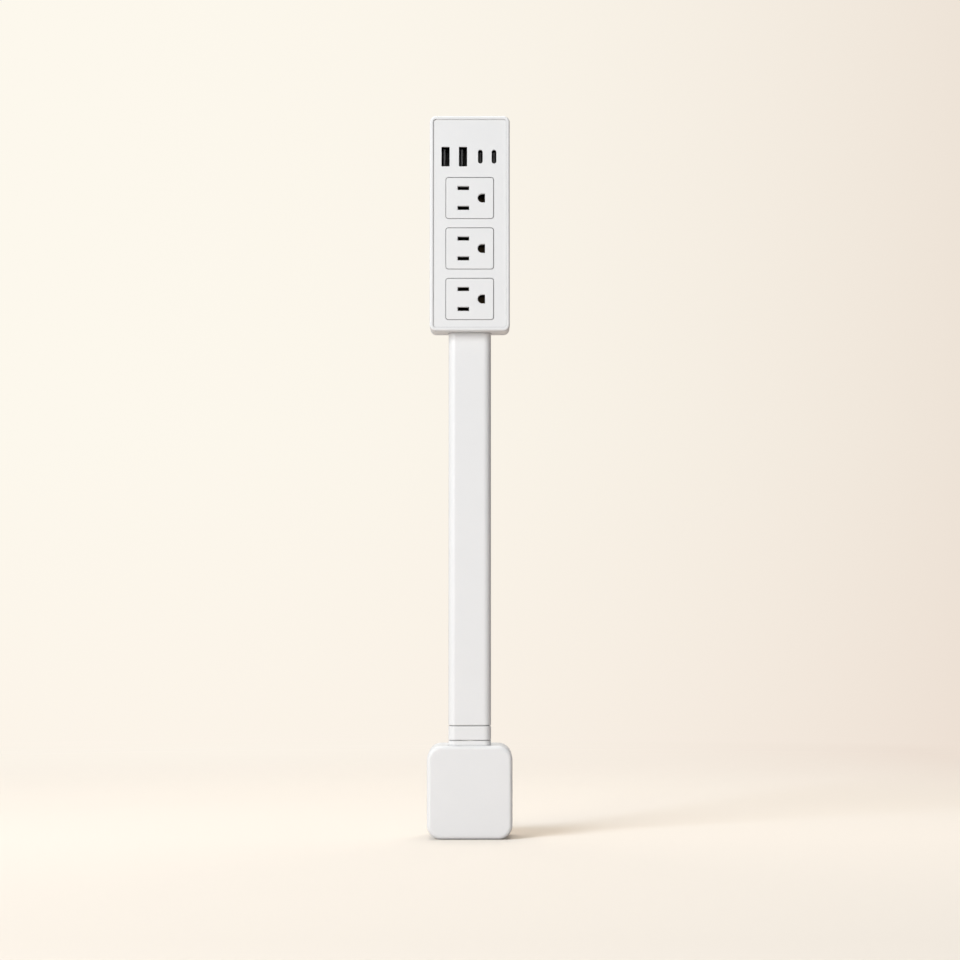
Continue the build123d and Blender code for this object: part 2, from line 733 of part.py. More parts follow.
# Transformer: a core round its winding
core_slot = (transformer_width - 2 * winding_margin, transformer_height - 2 * winding_margin)
core_middle = board_front - transformer_height / 2
transformer_level = below_head_top(transformer_drop)
with BuildPart() as transformer_core:
    with BuildSketch(head_plane(board_front)):
        with Locations((transformer_across, transformer_level)):
            Rectangle(transformer_width, transformer_tall)
    extrude(amount=transformer_height)
    winding_plane = Plane(
        origin=head_place(transformer_across, core_middle, transformer_level), z_dir=(0, 0, 1)
    )
    with BuildSketch(winding_plane):
        Rectangle(*core_slot)
    extrude(amount=transformer_tall, both=True, mode=Mode.SUBTRACT)
with BuildPart() as transformer_winding:
    with BuildSketch(winding_plane.offset(-transformer_tall / 2 + close_fit)):
        RectangleRounded(core_slot[0] - slip, core_slot[1] - slip, insert_corner)
    extrude(amount=transformer_tall - 2 * close_fit)

with BuildPart() as bulk_capacitor:
    with BuildSketch(head_plane(board_front)):
        with Locations((bulk_capacitor_across, below_head_top(bulk_capacitor_drop))):
            Circle(bulk_capacitor_radius)
    extrude(amount=bulk_capacitor_height)
    fillet(bulk_capacitor.faces().sort_by(Axis.Y)[0].edges(), capacitor_edge)
with BuildPart() as output_capacitor:
    with BuildSketch(head_plane(board_front)):
        with Locations((output_capacitor_across, below_head_top(output_capacitor_drop))):
            Circle(output_capacitor_radius)
    extrude(amount=output_capacitor_height)
    fillet(output_capacitor.faces().sort_by(Axis.Y)[0].edges(), capacitor_edge)
with BuildPart() as board_chips:
    with BuildSketch(head_plane(board_back + chip_height)):
        for chip_across, chip_drop, chip_width, chip_tall in chips:
            with Locations((chip_across, below_head_top(chip_drop))):
                Rectangle(chip_width, chip_tall)
    extrude(amount=chip_height)
fuse_plane = Plane(
    origin=head_place(fuse_across, board_back + fuse_radius, below_head_top(fuse_drop)), z_dir=(1, 0, 0)
)
with BuildPart() as board_fuse:
    with BuildSketch(fuse_plane):
        Circle(fuse_radius)
    extrude(amount=fuse_length / 2, both=True)

# Stem: a straight tube with a flange that the head's two shells close on
with BuildPart() as stem_tube:
    with BuildSketch(Plane.XY.offset(stem_foot)):
        with Locations((0, neck_y)):
            RectangleRounded(*stem_section)
    extrude(amount=stem_top - stem_foot)
    chamfer(stem_tube.faces().sort_by(Axis.Z)[0].edges(), seam_chamfer)
    with BuildSketch(Plane.XY.offset(head_foot + stem_flange_rise)):
        with Locations((0, neck_y)):
            RectangleRounded(
                stem_width + 2 * stem_flange_rim, stem_depth + 2 * stem_flange_rim,
                stem_corner + stem_flange_rim,
            )
    extrude(amount=stem_flange_thickness)
    with BuildSketch(Plane.XY.offset(stem_foot)):
        with Locations((0, neck_y)):
            RectangleRounded(stem_bore_width, stem_bore_depth, stem_bore_corner)
    extrude(amount=stem_top - stem_foot, mode=Mode.SUBTRACT)
    with BuildSketch(facing_back(neck_setback - stem_depth / 2, up=collar_top + stem_screw_rise)):
        with Locations(*both_sides(stem_screw_across, (0,))):
            Circle(stem_screw[2] + close_fit)
    extrude(amount=-stem_wall, mode=Mode.SUBTRACT)

# Collar that turns with the stem: a spigot up into the tube and a hollow spindle down into the base
spigot_width = stem_bore_width - 2 * slip
spigot_depth = stem_bore_depth - 2 * slip
spigot_corner = stem_bore_corner - slip
with BuildPart() as neck_collar:
    with BuildSketch(Plane.XY.offset(collar_foot)):
        with Locations((0, neck_y)):
            RectangleRounded(*stem_section)
    extrude(amount=collar_height)
    chamfer(neck_collar.faces().sort_by(Axis.Z)[0].edges(), seam_chamfer)
    chamfer(neck_collar.faces().sort_by(Axis.Z)[-1].edges(), seam_chamfer)
    with BuildSketch(Plane.XY.offset(collar_top)):
        with Locations((0, neck_y)):
            RectangleRounded(
                stem_width - 2 * stem_seat_inset, stem_depth - 2 * stem_seat_inset,
                stem_corner - stem_seat_inset,
            )
    extrude(amount=stem_seat_rise)
    with BuildSketch(Plane.XY.offset(collar_top)):
        with Locations((0, neck_y)):
            RectangleRounded(spigot_width, spigot_depth, spigot_corner)
    extrude(amount=spigot_height)
    with BuildSketch(Plane.XY.offset(collar_foot)):
        with Locations((0, neck_y)):
            Circle(spindle_radius)
    extrude(amount=-spindle_reach)
    with BuildSketch(Plane.XY.offset(stop_washer_top)):
        with Locations((spindle_flat, neck_y)):
            Rectangle(spindle_radius, 4 * spindle_radius, align=(Align.MIN, Align.CENTER))
        with Locations((-spindle_flat, neck_y)):
            Rectangle(spindle_radius, 4 * spindle_radius, align=(Align.MAX, Align.CENTER))
    extrude(amount=spindle_end - stop_washer_top, mode=Mode.SUBTRACT)
    with BuildSketch(Plane.XY.offset(spindle_end)):
        with Locations((0, neck_y)):
            Circle(spindle_bore_radius)
    extrude(amount=collar_top - spindle_end, mode=Mode.SUBTRACT)
    with BuildSketch(Plane.XY.offset(collar_top + spigot_height)):
        with Locations((0, neck_y)):
            RectangleRounded(
                spigot_width - 2 * spigot_wall, spigot_depth - 2 * spigot_wall, spigot_corner / 2
            )
    extrude(amount=-spigot_height - collar_height / 2, mode=Mode.SUBTRACT)
    with BuildSketch(facing_back(neck_setback - spigot_depth / 2, up=collar_top + stem_screw_rise)):
        with Locations(*both_sides(stem_screw_across, (0,))):
            Circle(stem_screw[2] + close_fit)
    extrude(amount=-spigot_wall, mode=Mode.SUBTRACT)

# Bearing in the base: flanged bush, thrust washer, spring washer, keyed stop washer and nut
with BuildPart() as swivel_bush:
    with BuildSketch(Plane.XY.offset(base_ceiling)):
        with Locations((0, neck_y)):
            Circle(bush_radius)
    extrude(amount=boss_top - base_ceiling)
    with BuildSketch(Plane.XY.offset(bush_flange_foot)):
        with Locations((0, neck_y)):
            Circle(bush_flange_radius)
    extrude(amount=bush_flange_thickness)
    with BuildSketch(Plane.XY.offset(bush_flange_foot)):
        with Locations((0, neck_y)):
            Circle(spindle_radius + running_fit)
    extrude(amount=boss_top - bush_flange_foot, mode=Mode.SUBTRACT)
with BuildPart() as thrust_washer:
    with BuildSketch(Plane.XY.offset(boss_top)):
        with Locations((0, neck_y)):
            Circle(thrust_washer_radius)
            Circle(spindle_radius + turning_gap, mode=Mode.SUBTRACT)
    extrude(amount=thrust_washer_thickness)
with BuildPart() as spring_washer:
    with BuildSketch(Plane.XY.offset(stop_washer_top)):
        with Locations((0, neck_y)):
            Circle(spring_washer_radius)
            Circle(spindle_radius + close_fit, mode=Mode.SUBTRACT)
    extrude(amount=spring_washer_thickness)
with BuildPart() as stop_washer:
    with BuildSketch(Plane.XY.offset(nut_top)):
        with Locations((0, neck_y)):
            Circle(stop_washer_radius)
            Rectangle(stop_lug_width, stop_lug_reach, align=(Align.CENTER, Align.MIN))
            Circle(spindle_radius + close_fit, mode=Mode.SUBTRACT)
        with Locations((spindle_flat + close_fit, neck_y), (-spindle_flat - close_fit, neck_y)):
            Rectangle(2 * (spindle_radius - spindle_flat), spindle_radius)
        with Locations((0, neck_y)):
            Rectangle(2 * (spindle_flat + close_fit), 2 * spindle_radius - stop_lug_width, mode=Mode.SUBTRACT)
    extrude(amount=stop_washer_thickness)
with BuildPart() as retaining_nut:
    with BuildSketch(Plane.XY.offset(nut_top - nut_height)):
        with Locations((0, neck_y)):
            RegularPolygon(nut_across_flats / 2, side_count=6, major_radius=False)
            Circle(spindle_radius + close_fit, mode=Mode.SUBTRACT)
    extrude(amount=nut_height)

# Base: the housing, a cup open at the back, with the neck boss on top
stop_post_across = bush_flange_radius + slip + stop_post_width / 2
stop_post_beside = stop_lug_width / 2 + slip + stop_post_depth / 2
with BuildPart() as base_housing:
    with BuildSketch(facing(base_cover_depth)):
        RectangleRounded(base_width, base_height, base_corner)
    extrude(amount=base_depth - base_cover_depth)
    fillet(base_housing.faces().sort_by(Axis.Y)[0].edges(), base_edge)
    chamfer(base_housing.faces().sort_by(Axis.Y)[-1].edges(), seam_chamfer)
    with BuildSketch(Plane.XY.offset(base_ceiling)):
        with Locations((0, neck_y)):
            RectangleRounded(*stem_section)
    extrude(amount=boss_top - base_ceiling)
    chamfer(base_housing.faces().sort_by(Axis.Z)[-1].edges(), seam_chamfer)
    with BuildSketch(facing(base_cover_depth)):
        RectangleRounded(base_inner_width, base_inner_height, base_inner_corner)
    extrude(amount=base_depth - base_cover_depth - base_wall, mode=Mode.SUBTRACT)
    with BuildSketch(facing(base_cover_depth + base_boss_length)):
        with Locations(*base_screw_places):
            Circle(base_boss_radius)
    extrude(amount=base_depth - base_wall - base_cover_depth - base_boss_length)
    with BuildSketch(Plane.XY.offset(base_ceiling)):
        with Locations(Location((0, neck_y, 0), (0, 0, 90 + swivel_limit))):
            with Locations((stop_post_across, stop_post_beside)):
                Rectangle(stop_post_width, stop_post_depth)
        mirror(about=Plane.YZ)
    extrude(amount=nut_top - base_ceiling - close_fit)
    with BuildSketch(Plane.XY.offset(base_ceiling)):
        with Locations((0, neck_y)):
            Circle(bush_radius + close_fit)
    extrude(amount=boss_top - base_ceiling, mode=Mode.SUBTRACT)
    with BuildSketch(facing(base_cover_depth + base_boss_length)):
        with Locations(*base_screw_places):
            Circle(base_screw[2] + close_fit)
    extrude(amount=base_screw[3] - base_boss_length + slip, mode=Mode.SUBTRACT)

# Base: the rear cover, with apertures for the blades and the pin
base_lip_width = base_inner_width - 2 * slip
base_lip_height = base_inner_height - 2 * slip
base_screw_seat = base_cover_depth + slip - (base_screw[1] + slip) / 2
plug_sides = {"neutral_blade": -blade_spacing / 2, "line_blade": blade_spacing / 2}
with BuildPart() as base_rear_cover:
    with BuildSketch(facing(0)):
        RectangleRounded(base_width, base_height, base_corner)
    extrude(amount=base_cover_depth)
    chamfer(base_rear_cover.faces().sort_by(Axis.Y)[-1].edges(), base_cover_edge)
    chamfer(base_rear_cover.faces().sort_by(Axis.Y)[0].edges(), seam_chamfer)
    with BuildSketch(facing(base_cover_plate)):
        RectangleRounded(base_inner_width, base_inner_height, base_inner_corner)
    extrude(amount=base_cover_depth - base_cover_plate, mode=Mode.SUBTRACT)
    with BuildSketch(facing(base_cover_plate)):
        RectangleRounded(base_lip_width, base_lip_height, base_inner_corner - slip)
        RectangleRounded(
            base_lip_width - 2 * lip_thickness, base_lip_height - 2 * lip_thickness,
            base_inner_corner - slip - lip_thickness, mode=Mode.SUBTRACT,
        )
    extrude(amount=base_cover_depth - base_cover_plate + lip_height)
    with BuildSketch(facing(base_cover_plate)):
        with Locations(*base_screw_places):
            Circle(base_boss_radius + slip)
    extrude(amount=base_cover_depth - base_cover_plate + base_boss_length - slip)
    with BuildSketch(facing(base_cover_plate)):
        with Locations(*holder_screw_places):
            Circle(holder_post_radius)
    extrude(amount=holder_post_length)
    with BuildSketch(facing(0)):
        with Locations(*[(across, plug_blade_up) for across in plug_sides.values()]):
            Rectangle(plug_blade_thickness + 2 * close_fit, plug_blade_width + 2 * close_fit)
        with Locations((0, plug_ground_up)):
            Circle(ground_pin_radius + close_fit)
    extrude(amount=base_cover_plate, mode=Mode.SUBTRACT)
    with BuildSketch(facing(0)):
        with Locations(*base_screw_places):
            Circle(base_screw[0] + slip)
    extrude(amount=base_screw_seat, mode=Mode.SUBTRACT)
    with BuildSketch(facing(base_screw_seat)):
        with Locations(*base_screw_places):
            Circle(base_screw[2] + slip)
    extrude(amount=base_depth, mode=Mode.SUBTRACT)
    with BuildSketch(facing(base_cover_plate + holder_post_length)):
        with Locations(*holder_screw_places):
            Circle(holder_screw[2] + close_fit)
    extrude(amount=-holder_post_length, mode=Mode.SUBTRACT)

# Blades and ground pin: a shoulder behind the cover, and a narrow tail for the wire's crimp
holder_front = base_cover_plate + holder_depth
plug_blades = {}
for blade_name, across in plug_sides.items():
    with BuildPart() as plug_blade:
        with BuildSketch(facing(base_cover_plate + plug_shoulder_depth)):
            with Locations((across, plug_blade_up)):
                Rectangle(plug_blade_thickness, plug_blade_width)
        extrude(amount=-base_cover_plate - plug_shoulder_depth - plug_blade_length)
        chamfer(plug_blade.faces().sort_by(Axis.Y)[-1].edges().filter_by(Axis.X), plug_blade_tip)
        with BuildSketch(facing(base_cover_plate)):
            with Locations((across, plug_blade_up)):
                Rectangle(plug_blade_thickness, plug_shoulder_width)
        extrude(amount=plug_shoulder_depth)
        with BuildSketch(facing(tail_end)):
            with Locations((across, plug_blade_up)):
                Rectangle(plug_blade_thickness, tail_width)
        extrude(amount=-tail_end + base_cover_plate)
        hole_centre = (across, plug_blade_hole_reach, plug_blade_up)
        with BuildSketch(Plane(origin=hole_centre, x_dir=(0, 1, 0), z_dir=(1, 0, 0))):
            Circle(plug_blade_hole_radius)
        extrude(amount=plug_blade_thickness, both=True, mode=Mode.SUBTRACT)
    plug_blades[blade_name] = plug_blade.part
with BuildPart() as ground_pin:
    with BuildSketch(facing(-ground_pin_neck_end, up=plug_ground_up)):
        Circle(ground_pin_radius)
    extrude(amount=-ground_pin_length + ground_pin_neck_end)
    fillet(ground_pin.faces().sort_by(Axis.Y)[-1].edges(), ground_pin_tip)
    with BuildSketch(facing(base_cover_plate, up=plug_ground_up)):
        Circle(ground_pin_neck_radius)
    extrude(amount=-base_cover_plate - ground_pin_neck_end)
    with BuildSketch(facing(base_cover_plate, up=plug_ground_up)):
        Circle(ground_collar_radius)
    extrude(amount=plug_shoulder_depth)
    with BuildSketch(facing(base_cover_plate, up=plug_ground_up)):
        Circle(wire_radius - close_fit)
    extrude(amount=tail_end - base_cover_plate)

# Holder that clamps the shoulders to the cover
holder_tall = ground_reach + holder_top + holder_foot
with BuildPart() as blade_holder:
    with BuildSketch(facing(base_cover_plate)):
        with Locations((0, plug_blade_up + holder_top)):
            Rectangle(holder_width, holder_tall, align=(Align.CENTER, Align.MAX))
    extrude(amount=holder_depth)
    fillet(blade_holder.edges().filter_by(Axis.Y), holder_corner)
    with BuildSketch(facing(base_cover_plate)):
        with Locations(*[(across, plug_blade_up) for across in plug_sides.values()]):
            Rectangle(plug_blade_thickness + 2 * close_fit, plug_shoulder_width + 2 * close_fit)
        with Locations((0, plug_ground_up)):
            Circle(ground_collar_radius + close_fit)
    extrude(amount=plug_shoulder_depth + close_fit, mode=Mode.SUBTRACT)
    with BuildSketch(facing(base_cover_plate)):
        with Locations(*[(across, plug_blade_up) for across in plug_sides.values()]):
            Rectangle(plug_blade_thickness + 2 * close_fit, tail_width + 2 * close_fit)
        with Locations((0, plug_ground_up)):
            Circle(wire_radius)
    extrude(amount=holder_depth, mode=Mode.SUBTRACT)
    with BuildSketch(facing(base_cover_plate)):
        with Locations(*holder_screw_places):
            Circle(holder_post_radius + close_fit)
    extrude(amount=holder_post_length + close_fit, mode=Mode.SUBTRACT)
    with BuildSketch(facing(base_cover_plate)):
        with Locations(*holder_screw_places):
            Circle(holder_screw[2] + slip)
    extrude(amount=holder_depth, mode=Mode.SUBTRACT)

# Crimp sleeves that join each wire to its tail
wire_tails = {"line": (blade_spacing / 2, plug_blade_up), "neutral": (-blade_spacing / 2, plug_blade_up)}
wire_tails["ground"] = (0, plug_ground_up)
wire_leads = {"line": blade_wire_lead, "neutral": blade_wire_lead, "ground": ground_wire_lead}
wire_start = tail_end + 2 * close_fit
with BuildPart() as blade_crimps:
    with BuildSketch(facing(wire_start - crimp_length / 2)):
        with Locations(*wire_tails.values()):
            Circle(wire_radius + close_fit + crimp_wall)
            Circle(wire_radius + close_fit, mode=Mode.SUBTRACT)
    extrude(amount=crimp_length)

# Three wires from the tails up through the spindle and the stem to the bars
bus_places = {"line": line_bar_across, "neutral": neutral_bar_across, "ground": ground_across}
bore_angles = {"line": -30.0, "neutral": 210.0, "ground": 90.0}
sway = {"line": (0.6, -2.7), "neutral": (0.9, -1.4), "ground": (-0.7, 0.6)}
wire_back_y = head_front_y + bar_back + wire_radius
wires = {}
for wire_name, (tail_across, tail_up) in wire_tails.items():
    bore_x = wire_spread * cos(radians(bore_angles[wire_name]))
    bore_y = neck_y + wire_spread * sin(radians(bore_angles[wire_name]))
    bus_x = bus_places[wire_name]
    slack_y = (bore_y + wire_back_y) / 2
    sway_x, sway_y = sway[wire_name]
    wires[f"{wire_name}_wire"] = wire_along(
        (
            (tail_across, -wire_start, tail_up),
            (tail_across, -wire_start - wire_leads[wire_name], tail_up),
            (bore_x, bore_y, spindle_end - wire_entry_drop),
            (bore_x, bore_y, collar_top + spigot_height),
            (bus_x + sway_x, slack_y + sway_y, stem_foot + low_share * stem_length),
            (bus_x + sway_x / 2, slack_y - sway_y / 2, stem_foot + high_share * stem_length),
            (bus_x, wire_back_y, head_foot - entry_share * stem_length),
            (bus_x, wire_back_y, head_foot + insulator_foot - wire_end_gap),
        ),
        wire_radius,
    )

# Two thin wires from the tops of the blade bars to the back of the board
feed_leans = {"line": line_feed_lean, "neutral": neutral_feed_lean}
feed_wires = {}
for feed_name, lean in feed_leans.items():
    bar_across = bus_places[feed_name]
    board_across = bar_across + lean
    feed_wires[f"usb_{feed_name}_feed"] = wire_along(
        (
            head_place(bar_across, bar_back + feed_wire_radius, insulator_top + feed_start_rise),
            head_place(bar_across, bar_back + feed_wire_radius, carrier_top + feed_turn_rise),
            head_place(board_across, board_back + feed_wire_radius, carrier_top + feed_board_rise),
            head_place(board_across, board_back + feed_wire_radius, carrier_top + feed_end_rise),
        ),
        feed_wire_radius,
    )

# Screws, in sets of one kind
stem_screw_seat = neck_setback - stem_depth / 2
stem_screw_places = both_sides(stem_screw_across, (collar_top + stem_screw_rise,))


def head_seats(depth, places):
    """Planes for screws driven from the back into the head, at a depth behind its rim."""
    return [facing_back(-head_front_y - depth, across, head_middle + level) for across, level in places]


screw_sets = {
    "head_screws": (head_screw, head_seats(head_screw_seat, head_screw_places)),
    "carrier_screws": (carrier_screw, head_seats(ear_back, ear_places)),
    "board_screws": (board_screw, head_seats(board_back, board_screw_places)),
    "stem_screws": (stem_screw, [facing_back(stem_screw_seat, x, z) for x, z in stem_screw_places]),
    "base_screws": (base_screw, [facing_back(base_screw_seat, x, z) for x, z in base_screw_places]),
    "holder_screws": (holder_screw, [facing(holder_front, x, z) for x, z in holder_screw_places]),
}
screws = {}
for set_name, (sizes, seats) in screw_sets.items():
    one_screw = pan_screw(sizes)
    with BuildPart() as screw_set:
        with Locations(*seats):
            add(one_screw)
    screws[set_name] = screw_set.part

# Every piece is written under its own name
pieces = {
    "front_housing": front_housing.part,
    "back_cover": back_cover.part,
    **receptacle_faces,
    "contact_carrier": contact_carrier.part,
    "insulator_plate": insulator_plate.part,
    **bus_bars,
    **usb_pieces,
    "usb_board": usb_board.part,
    "transformer_core": transformer_core.part,
    "transformer_winding": transformer_winding.part,
    "bulk_capacitor": bulk_capacitor.part,
    "output_capacitor": output_capacitor.part,
    "board_chips": board_chips.part,
    "board_fuse": board_fuse.part,
    "stem_tube": stem_tube.part,
    "neck_collar": neck_collar.part,
    "swivel_bush": swivel_bush.part,
    "thrust_washer": thrust_washer.part,
    "spring_washer": spring_washer.part,
    "stop_washer": stop_washer.part,
    "retaining_nut": retaining_nut.part,
    "base_housing": base_housing.part,
    "base_rear_cover": base_rear_cover.part,
    "blade_holder": blade_holder.part,
    **plug_blades,
    "ground_pin": ground_pin.part,
    "blade_crimps": blade_crimps.part,
    **wires,
    **feed_wires,
    **screws,
}
os.makedirs("parts", exist_ok=True)
for piece_name, piece in pieces.items():
    piece.label = piece_name
    export_step(piece, f"parts/{piece_name}.step")
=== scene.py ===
"""Dresses the wall outlet extender: finishes, fine pieces, plain studio and camera.

Lengths are in metres in the shared frame: X to the right, Y back to the wall, Z up.
"""
import sys

import logging
import math
from abc import ABC, abstractmethod
from dataclasses import dataclass
from enum import Enum
from typing import Callable, Sequence

import bpy
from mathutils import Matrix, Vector


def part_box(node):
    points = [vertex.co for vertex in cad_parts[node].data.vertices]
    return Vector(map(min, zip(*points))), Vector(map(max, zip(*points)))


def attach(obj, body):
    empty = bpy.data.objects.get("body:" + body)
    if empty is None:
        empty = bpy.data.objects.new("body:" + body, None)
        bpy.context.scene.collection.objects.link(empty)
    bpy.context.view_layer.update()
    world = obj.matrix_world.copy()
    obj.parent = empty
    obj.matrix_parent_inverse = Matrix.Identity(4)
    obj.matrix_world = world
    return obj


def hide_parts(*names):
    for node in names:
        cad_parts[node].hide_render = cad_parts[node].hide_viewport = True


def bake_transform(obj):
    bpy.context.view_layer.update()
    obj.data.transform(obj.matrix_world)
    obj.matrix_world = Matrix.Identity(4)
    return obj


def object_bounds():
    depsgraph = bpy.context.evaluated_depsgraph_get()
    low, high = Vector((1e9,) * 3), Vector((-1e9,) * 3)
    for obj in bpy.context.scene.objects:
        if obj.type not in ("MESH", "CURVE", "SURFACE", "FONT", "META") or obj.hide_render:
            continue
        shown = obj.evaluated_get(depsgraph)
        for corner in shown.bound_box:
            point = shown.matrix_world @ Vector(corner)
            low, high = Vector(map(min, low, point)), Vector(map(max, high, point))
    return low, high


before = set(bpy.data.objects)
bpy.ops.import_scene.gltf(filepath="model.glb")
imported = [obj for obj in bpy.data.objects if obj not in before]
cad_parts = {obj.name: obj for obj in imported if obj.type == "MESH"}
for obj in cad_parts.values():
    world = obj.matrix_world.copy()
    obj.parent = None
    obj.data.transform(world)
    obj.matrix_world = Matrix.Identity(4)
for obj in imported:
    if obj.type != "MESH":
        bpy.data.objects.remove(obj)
cad_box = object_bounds()

log = logging.getLogger("outlet_extender")

Colour = tuple[float, float, float]
Point = tuple[float, float, float]
Socket = bpy.types.NodeSocket

MM = 0.001
WELD = 1e-6  # corners nearer than this are one
LOOKS_THAT_WAY = 0.9  # cosine from which a face counts as facing a direction
SOFTENED_FROM = math.radians(40)  # edges sharper than this are softened
SMOOTH_UP_TO = math.radians(35)  # faces that meet flatter than this are shaded smooth
EDGE_COSINES = (0.72, 0.985)  # between a face and its rounded copy: on an edge, on the flat
OPEN_SHARES = (0.3, 0.95)  # share of open sky deep in a seam and out of it
BAND_WIDTH = 3.14  # divides a wave texture's scale, so that a band is about one width wide


class Grain(Enum):
    """How a surface's fine marks run over it, as stretch factors of their pattern."""

    EVEN = (1.0, 1.0, 1.0)
    ALONG_Y = (1.0, 0.04, 1.0)
    ALONG_Z = (1.0, 1.0, 0.04)


class Axis(Enum):
    """Directions that a round piece can lie along."""

    X = (0.0, math.pi / 2, 0.0)
    Y = (math.pi / 2, 0.0, 0.0)


class NodeSheet:
    """A node tree, with the short chains that the finishes and the studio share."""

    def __init__(self, tree: bpy.types.NodeTree, space: str = "Object") -> None:
        """Takes a node tree in hand, with the coordinates that its patterns lie on."""
        self.tree = tree
        self.place = self.add("ShaderNodeTexCoord").outputs[space]

    def add(self, kind: str, **values: object) -> bpy.types.Node:
        """Adds a node of one of Blender's kinds, with some of its properties set."""
        node = self.tree.nodes.new(kind)
        for key, value in values.items():
            setattr(node, key, value)
        return node

    def join(self, source: Socket | Colour | float, target: Socket) -> None:
        """Links a socket to another, or sets a plain colour or number on it."""
        if isinstance(source, Socket):
            self.tree.links.new(source, target)
        else:
            target.default_value = (*source, 1.0) if isinstance(source, tuple) else source

    def span(self, source: Socket, low: float, high: float, start: float = 0.3, end: float = 0.7,
             course: str = "LINEAR") -> Socket:
        """Maps a value from start and end to low and high, and clamps it.

        Args:
            source: the value to map.
            low: result at start.
            high: result at end.
            start: where the source's range begins.
            end: where it ends.
            course: how the result runs from one to the other.

        Returns:
            The mapped value.
        """
        node = self.add("ShaderNodeMapRange", interpolation_type=course)
        for socket, value in (("From Min", start), ("From Max", end), ("To Min", low), ("To Max", high)):
            node.inputs[socket].default_value = value
        self.join(source, node.inputs["Value"])
        return node.outputs["Result"]

    def combine(self, operation: str, first: Socket, second: Socket | float) -> Socket:
        """Works out a Math operation on two values."""
        node = self.add("ShaderNodeMath", operation=operation)
        self.join(first, node.inputs[0])
        self.join(second, node.inputs[1])
        return node.outputs[0]

    def tint(self, factor: Socket | float, first: Colour | Socket, second: Colour | Socket,
             blend: str = "MIX") -> Socket:
        """Mixes two colours.

        Args:
            factor: 0 for the first colour and 1 for the second.
            first: a colour, or a socket that gives one.
            second: the same.
            blend: the way that the second is laid on the first.

        Returns:
            The mixed colour.
        """
        node = self.add("ShaderNodeMix", data_type="RGBA", blend_type=blend)
        for source, place in ((factor, 0), (first, 6), (second, 7)):
            self.join(source, node.inputs[place])
        return node.outputs[2]

    def layer(self, factor: Socket, under: Socket, over: Socket) -> Socket:
        """Mixes two shaders: the one under at 0 and the one over at 1."""
        node = self.add("ShaderNodeMixShader")
        for source, target in zip((factor, under, over), node.inputs):
            self.join(source, target)
        return node.outputs[0]

    def seen(self) -> Socket:
        """Gives 1 for the camera's rays, also through glass, and 0 for others."""
        path = self.add("ShaderNodeLightPath")
        return self.combine("MAXIMUM", path.outputs["Is Camera Ray"], path.outputs["Is Transmission Ray"])


class ShaderSheet(NodeSheet):
    """The node tree of one material, with its Principled shader."""

    def __init__(self, name: str) -> None:
        """Starts a material of that name."""
        self.material = bpy.data.materials.new(name)
        self.material.use_nodes = True
        super().__init__(self.material.node_tree)
        self.shader = self.tree.nodes["Principled BSDF"]

    def cloud(self, size: float, detail: float = 3.0, grain: Grain = Grain.EVEN) -> Socket:
        """Noise on the object's own coordinates.

        Args:
            size: length of one wave of the noise, in metres.
            detail: how many finer layers it has.
            grain: the way that it is stretched.

        Returns:
            The noise's value, around 0.5.
        """
        mapping = self.add("ShaderNodeMapping")
        mapping.inputs["Scale"].default_value = grain.value
        noise = self.add("ShaderNodeTexNoise")
        noise.inputs["Scale"].default_value = 1.0 / size
        noise.inputs["Detail"].default_value = detail
        self.join(self.place, mapping.inputs["Vector"])
        self.join(mapping.outputs["Vector"], noise.inputs["Vector"])
        return noise.outputs["Fac"]

    def worn_edge(self, width: float) -> Socket:
        """Value that rises to 1 on edges, where handling polishes them, width metres wide."""
        bevel = self.add("ShaderNodeBevel", samples=4)
        bevel.inputs["Radius"].default_value = width
        flat = self.add("ShaderNodeNewGeometry")
        dot = self.add("ShaderNodeVectorMath", operation="DOT_PRODUCT")
        self.join(bevel.outputs["Normal"], dot.inputs[0])
        self.join(flat.outputs["Normal"], dot.inputs[1])
        return self.span(dot.outputs["Value"], 1.0, 0.0, *EDGE_COSINES)

    def painted_seam_shade(self, reach: float) -> Socket:
        """Value that rises to 1 in seams and corners, from reach metres out, where less light reaches: the
        mask of painted shade.
        """
        # painted shade: the less open sky a point sees, the more its colour is darkened
        hollow = self.add("ShaderNodeAmbientOcclusion", samples=6)
        hollow.inputs["Distance"].default_value = reach
        return self.span(hollow.outputs["AO"], 1.0, 0.0, *OPEN_SHARES)

    def coat(self, colour: Socket, pattern: Socket, roughness: tuple[float, float]) -> None:
        """Gives the shader its colour, and a roughness between two values along a pattern."""
        self.join(colour, self.shader.inputs["Base Color"])
        self.join(self.span(pattern, *roughness), self.shader.inputs["Roughness"])

    def relief(self, height: Socket, depth: float) -> None:
        """Gives the shader fine bumps, depth metres high, along a pattern from 0 to 1."""
        bump = self.add("ShaderNodeBump")
        bump.inputs["Strength"].default_value = 1.0
        bump.inputs["Distance"].default_value = depth
        self.join(height, bump.inputs["Height"])
        self.join(bump.outputs["Normal"], self.shader.inputs["Normal"])


@dataclass(frozen=True)
class Finish(ABC):
    """A finish that one or more pieces wear.

    Attributes:
        slot: the record's material slot that it belongs to.
        colour: its base colour, linear.
        roughness: its middle roughness.
    """

    slot: str
    colour: Colour
    roughness: float

    @abstractmethod
    def dress(self, sheet: ShaderSheet) -> None:
        """Builds the finish's nodes on a sheet."""

    def shade(self, amount: float) -> Colour:
        """The base colour, lighter above 1 and darker below."""
        return tuple(min(part * amount, 1.0) for part in self.colour)

    def stray(self, below: float, above: float | None = None) -> tuple[float, float]:
        """The lowest and highest roughness, equally far from the middle if above is left out."""
        return self.roughness - below, self.roughness + (below if above is None else above)

    def material(self) -> bpy.types.Material:
        """The finish's material, made on first use."""
        known = bpy.data.materials.get("finish_" + self.slot)
        if known:
            return known
        sheet = ShaderSheet("finish_" + self.slot)
        sheet.material.diffuse_color = (*self.colour, 1.0)
        self.dress(sheet)
        return sheet.material


